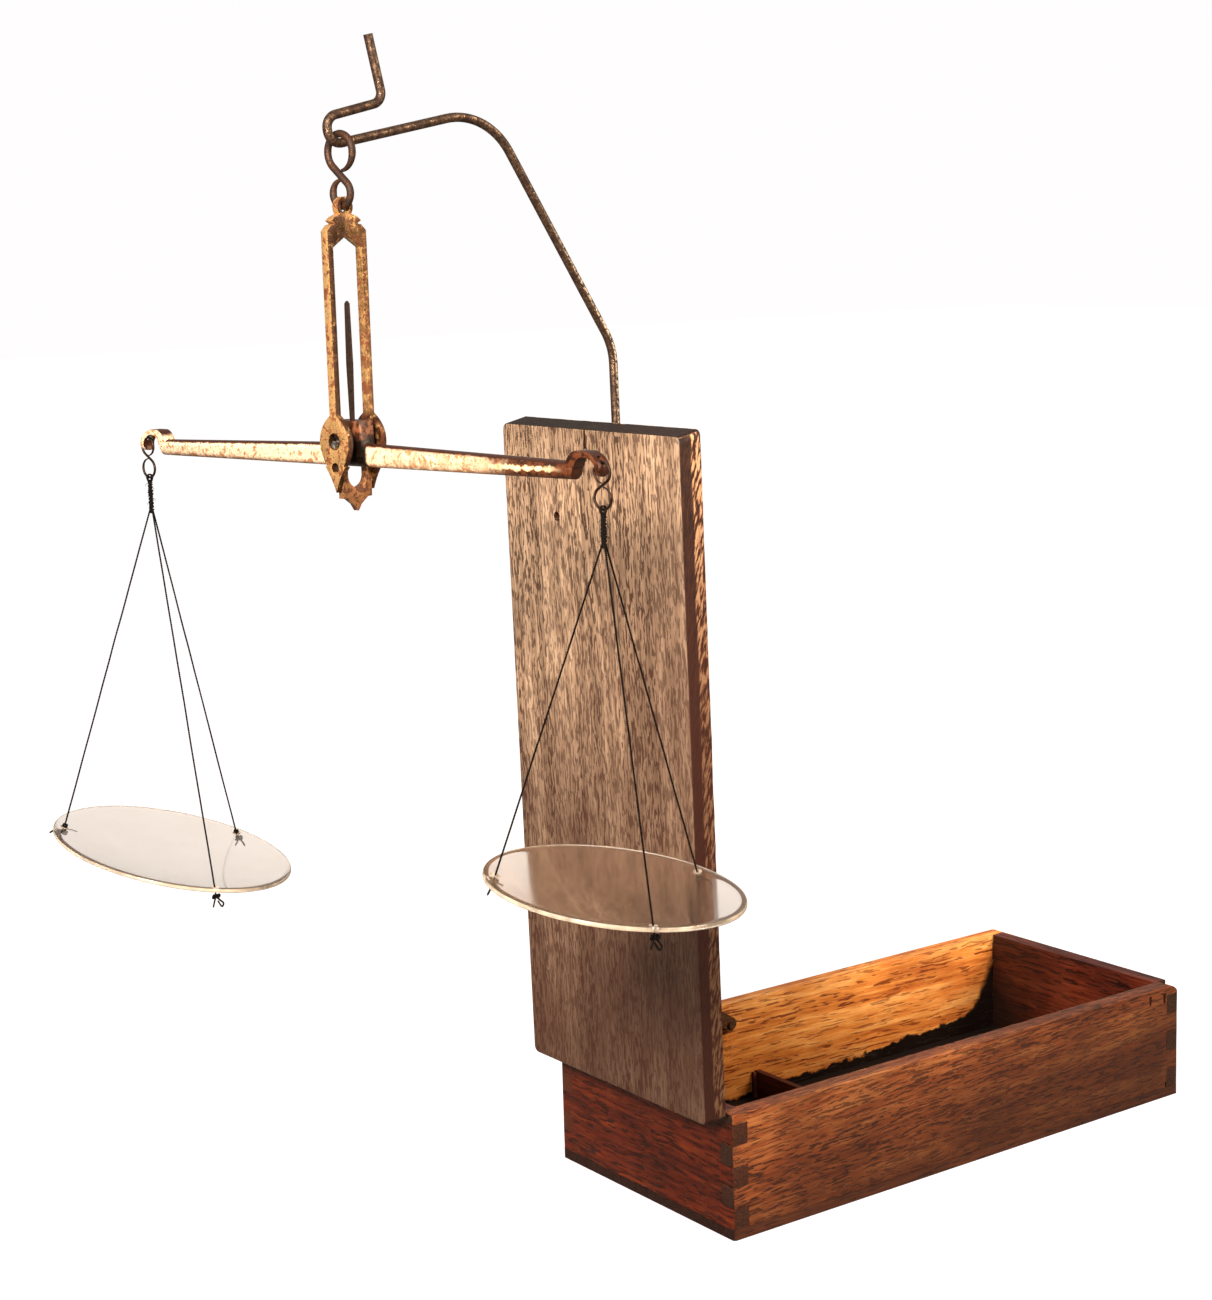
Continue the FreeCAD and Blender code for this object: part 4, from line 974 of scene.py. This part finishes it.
# Toned bright: painted light on the back wall's inner face
box_back = wood("mahogany, oiled, back", "X", ("#b7632a", "#e39042", "#ffbd6e"), "#743212", "#4a2c1e",
                shift=(0.42, 0.05, 0.23), tilt=-1, contrast=0.8, pore_cut=0.575, pore_size=(5.0, 0.4),
                rough=0.45, wave=0.8, relief=0.22, extra=inner_age)
# The two ends toned dark: painted shade
box_hinge_end = wood("mahogany, oiled, hinge end", "Y", ("#4c1504", "#67230a", "#833512"), "#2a0902",
                     "#4a2819", shift=(0.2, 0.6, 0.3), pore_cut=0.54, pore_size=(4.0, 0.4), rough=0.45,
                     wave=0.8, relief=0.3)
box_far_end = wood("mahogany, oiled, far end", "Y", ("#41140a", "#5e2212", "#78361f"), "#240805", "#3c2217",
                   shift=(0.7, 0.2, 0.5), pore_cut=0.55, rough=0.45, extra=far_age)
bottom = wood("deal, stained dark", "X", ("#32170d", "#442213", "#582e1b"), "#1e0d07", "#2d140b",
              shift=(0.1, 0.9, 0.2), pore_cut=0.58, rough=0.6)
# Partition toned dark: painted shade on its face
divider = wood("mahogany, partition, in painted shade", "Y", ("#3a140d", "#501d12", "#6e3019"), "#1c0a07", "#8a4a26",
               shift=(0.5, 0.4, 0.9), pore_cut=0.56, rough=0.5)

# Lining: leathercloth glued to the floor, black and scuffed, with bits of dust
lining = plain("leathercloth, black, scuffed", "#0e0705", "#6a5a4e", rough=0.7, grain=2600, cut=(0.72, 0.78),
               shine=0.2)

# Brass: cast and filed, the fork once gilt, the rest long since browned
fork_brass = aged_metal("brass, cast and gilt, worn through", "#cfa670", "#6b3f22", "#241109", share=0.53,
                        soft=0.05, grain=420, rough=(0.34, 0.55), bump=0.5, metal=(0.75, 0.3),
                        extra=fork_age)
bridge_brass = aged_metal("brass, cast, dark", "#a5764f", "#52301f", "#1f0e08", share=0.5, soft=0.05,
                          grain=560, rough=(0.40, 0.6), bump=0.5, metal=(0.7, 0.3))
# The beam's pale cream skin is partly the brass's own colour, partly a painted highlight of polished brass
beam_brass = aged_metal("brass, cast and filed, pitted", "#fbe6c8", "#b57f55", "#5a2f1a", share=0.57,
                        soft=0.06, grain=520, rough=(0.32, 0.5), bump=0.35, shift=(0.3, 0, 0),
                        metal=(0.45, 0.4), extra=beam_age)
brown_brass = aged_metal("brass, rolled, browned", "#8b6142", "#53321f", "#1f110b", share=0.5, soft=0.08,
                         grain=600, rough=(0.4, 0.65), bump=0.4, metal=(0.8, 0.4))
upper_metal = aged_metal("iron wire, bent hot, brown with rust", "#553825", "#26140c", "#0c0503", share=0.42,
                         soft=0.1, grain=500, rough=(0.38, 0.65), bump=0.5, metal=(0.8, 0.4))
arm_metal = aged_metal("iron wire, drawn, lightly rusted", "#75604f", "#2c1c14", "#100906", share=0.46,
                       soft=0.08, grain=650, rough=(0.26, 0.5), bump=0.5, metal=(1.0, 0.5), extra=arm_age)

# Iron and steel: filed bright once, now dulled
blue_steel = aged_metal("steel, filed, dulled", "#54433a", "#241813", "#0f0907", share=0.45, soft=0.1,
                        grain=700, rough=(0.3, 0.55), bump=0.3)
knife_steel = aged_metal("steel, ground and hardened", "#cfd2d0", "#8d8580", "#3a2f2a", share=0.6, soft=0.1,
                         grain=800, rough=(0.2, 0.4), bump=0.15)
screw_steel = aged_metal("iron screws, turned, rusty", "#7a5b48", "#40281c", "#160c08", share=0.5, soft=0.1,
                         grain=1200, rough=(0.4, 0.7), bump=0.4)
hook_iron = aged_metal("iron wire, drawn, brown", "#3d2a20", "#1a0f0b", "#0a0504", share=0.5, soft=0.1,
                       grain=900, rough=(0.35, 0.6), bump=0.4)

glass = old_glass("blown glass, ground flat, faintly warm")

# Thread: linen, two plies, dyed black and rubbed brown
thread = plain("linen thread, dyed black", "#080504", "#1c120d", rough=0.9, grain=3000, cut=(0.62, 0.76),
               shine=0.15)


# ---- the object ----

MATERIALS = (
    (box_long, "front_wall"), (box_back, "back_wall"), (box_hinge_end, "hinge_end_wall"),
    (box_far_end, "far_end_wall"), (bottom, "bottom_board"), (divider, "partition partition_slips"),
    (lining, "near_floor_lining far_floor_lining"), (lid_wood, "lid_board"), (fork_brass, "fork_frame"),
    (bridge_brass, "fork_bridge"), (blue_steel, "bridge_rivets pointer"), (beam_brass, "beam"),
    (knife_steel, "knife_edge"), (arm_metal, "wire_arm"), (upper_metal, "upper_s_hook"),
    (screw_steel, "hinge_box_screws hinge_lid_screws arm_socket_screws"),
    (brown_brass, "arm_socket arm_eye lid_stay stay_keeper stay_pivot_nail hinge_1_box_leaf"
                  " hinge_1_lid_leaf hinge_1_pin hinge_2_box_leaf hinge_2_lid_leaf hinge_2_pin"),
    (hook_iron, "left_s_hook right_s_hook"), (glass, "left_pan right_pan"),
    (thread, "left_whipping left_threads left_knots right_whipping right_threads right_knots"),
)
for material, nodes in MATERIALS:
    for node in nodes.split():
        dress(node, material)

# In millimetres: the crack in the lid's top, and the slits and the notch by the front wall's far end
LID_NICKS = [((-109.0, 1.0, 233.0), (5.0, 0.42, 5.2))]
FRONT_NICKS = [((81.4, -43.0, 34.5), (0.5, 0.8, 1.6)), ((88.2, -43.0, 34.0), (0.6, 1.0, 1.7)),
               ((89.1, -43.0, 4.2), (0.3, 0.8, 1.0))]
panel = worn_board("lid_board", "lid_panel", lid_wood, "lid", "lid_wood", round_over=0.3, amount=0.5,
                   grain=2.2, cuts=((2, 3.0), (1, 3.0)))
nicked(panel, LID_NICKS)
for wall, material, axis in (("front", box_long, 0), ("back", box_back, 0), ("hinge_end", box_hinge_end, 1),
                             ("far_end", box_far_end, 1)):
    panel = worn_board(wall + "_wall", wall + "_panel", material, "box", "box_wood", round_over=0.25,
                       amount=0.35, grain=2.5, cuts=((axis, 2.0),))
    if wall == "front":
        nicked(panel, FRONT_NICKS)

for node, name, width, material, body, slot in (
        ("fork_frame", "fork_casting", 0.22, fork_brass, "fork", "fork_brass"),
        ("fork_bridge", "bridge_casting", 0.2, bridge_brass, "fork", "fork_brass"),
        ("beam", "beam_casting", 0.2, beam_brass, "beam", "beam_brass")):
    keep(softened(node, name, width), material, body, slot, node)

keep(collars("knife_collars"), blue_steel, "beam", "knife_steel")
hanging = hook("hanging_hook", HANG + UP * MM, wire=1.0, taper=0.55, top_loop=9.5, low_loop=6.7, height=18.6,
               opening=6.0, turn=-1)
keep(hanging, upper_metal, "hanger", "brown_brass", "upper_s_hook")
for side, way in (("left", -1), ("right", 1)):
    pan = PANS[side]
    top = Vector(pan["foot"]) + UP * (PAN_HOOK_HEIGHT * MM)
    small = hook("hook_" + side, top, wire=0.36, taper=0.5, top_loop=5.2, low_loop=5.4,
                 height=PAN_HOOK_HEIGHT, opening=6.0, turn=way)
    keep(small, hook_iron, side + "_hook", "hook_iron", side + "_s_hook")
    pan_set(side, pan, glass, thread)


# ---- stage ----

def seen_directly(tree):
    """1 where the camera looks straight or through glass, 0 for light that bounces."""
    ray = add(tree, "LightPath").node.outputs
    return calc(tree, "MAXIMUM", ray["Is Camera Ray"], ray["Is Transmission Ray"])


def paper_floor():
    """A white paper sweep that reads as white and throws back only a little light."""
    nothing_selected()
    bpy.ops.mesh.primitive_plane_add(size=12, location=(0, 0, -0.2 * MM))
    ground = bpy.context.object
    ground.name = "ground"
    material, tree = new_material("white paper floor")
    paper = add(tree, "BsdfDiffuse", Color=(0.22, 0.22, 0.22, 1))
    white = add(tree, "Emission", Color=(1, 0.975, 0.985, 1), Strength=0.955)
    bright = add(tree, "AddShader", i0=paper, i1=white)
    grey = add(tree, "BsdfDiffuse", Color=(0.3, 0.29, 0.28, 1))
    both = add(tree, "MixShader", i0=seen_directly(tree), i1=grey, i2=bright)
    ground.data.materials.append(close_material(material, tree, both))


def studio_world():
    world = bpy.data.worlds.new("studio")
    bpy.context.scene.world = world
    world.use_nodes = True
    tree = world.node_tree
    tree.nodes.clear()
    room = add(tree, "Background", Color="#f4ece2", Strength=0.5)
    white = add(tree, "Background", Color=(1, 0.985, 0.99, 1), Strength=1.0)
    both = add(tree, "MixShader", i0=seen_directly(tree), i1=room, i2=white)
    add(tree, "OutputWorld", Surface=both)


def lamp(name, place, aim, side, power, colour, spread=180):
    """A square soft light at a place, turned to another; spread is in degrees."""
    light = bpy.data.lights.new(name, "AREA")
    light.shape = "SQUARE"
    light.size = side
    light.energy = power
    light.spread = radians(spread)
    light.color = linear(colour)[:3]
    made = linked(name, light)
    made.location = place
    made.rotation_euler = (Vector(aim) - Vector(place)).to_track_quat("-Z", "Y").to_euler()


def camera():
    lens = bpy.data.cameras.new("camera")
    made = linked("camera", lens)
    right = Vector((0.80852, -0.58776, -0.02893))
    up = Vector((0.12138, 0.11846, 0.98551))
    back = -Vector((0.57582, 0.80032, -0.16712))
    place = Matrix.Translation((-0.508015, -0.562085, 0.286631))
    made.matrix_world = place @ Matrix((right, up, back)).transposed().to_4x4()
    lens.sensor_fit = "VERTICAL"
    lens.sensor_height = 36
    lens.lens = 67.239
    lens.clip_start = 0.01
    lens.clip_end = 20
    bpy.context.scene.camera = made


paper_floor()
studio_world()
lamp("key", (0.55, -0.75, 0.75), (-0.08, 0.0, 0.12), side=0.45, power=11, colour="#ffe3c2")
lamp("left", (-0.62, -0.40, 0.50), (-0.16, 0.0, 0.27), side=0.2, power=1.6, colour="#ffe9d2", spread=50)
lamp("fill", (-0.9, -0.2, 0.6), (-0.05, 0, 0.15), side=0.8, power=2.5, colour="#fff3e6")
camera()
bpy.context.scene.view_settings.view_transform = "Standard"
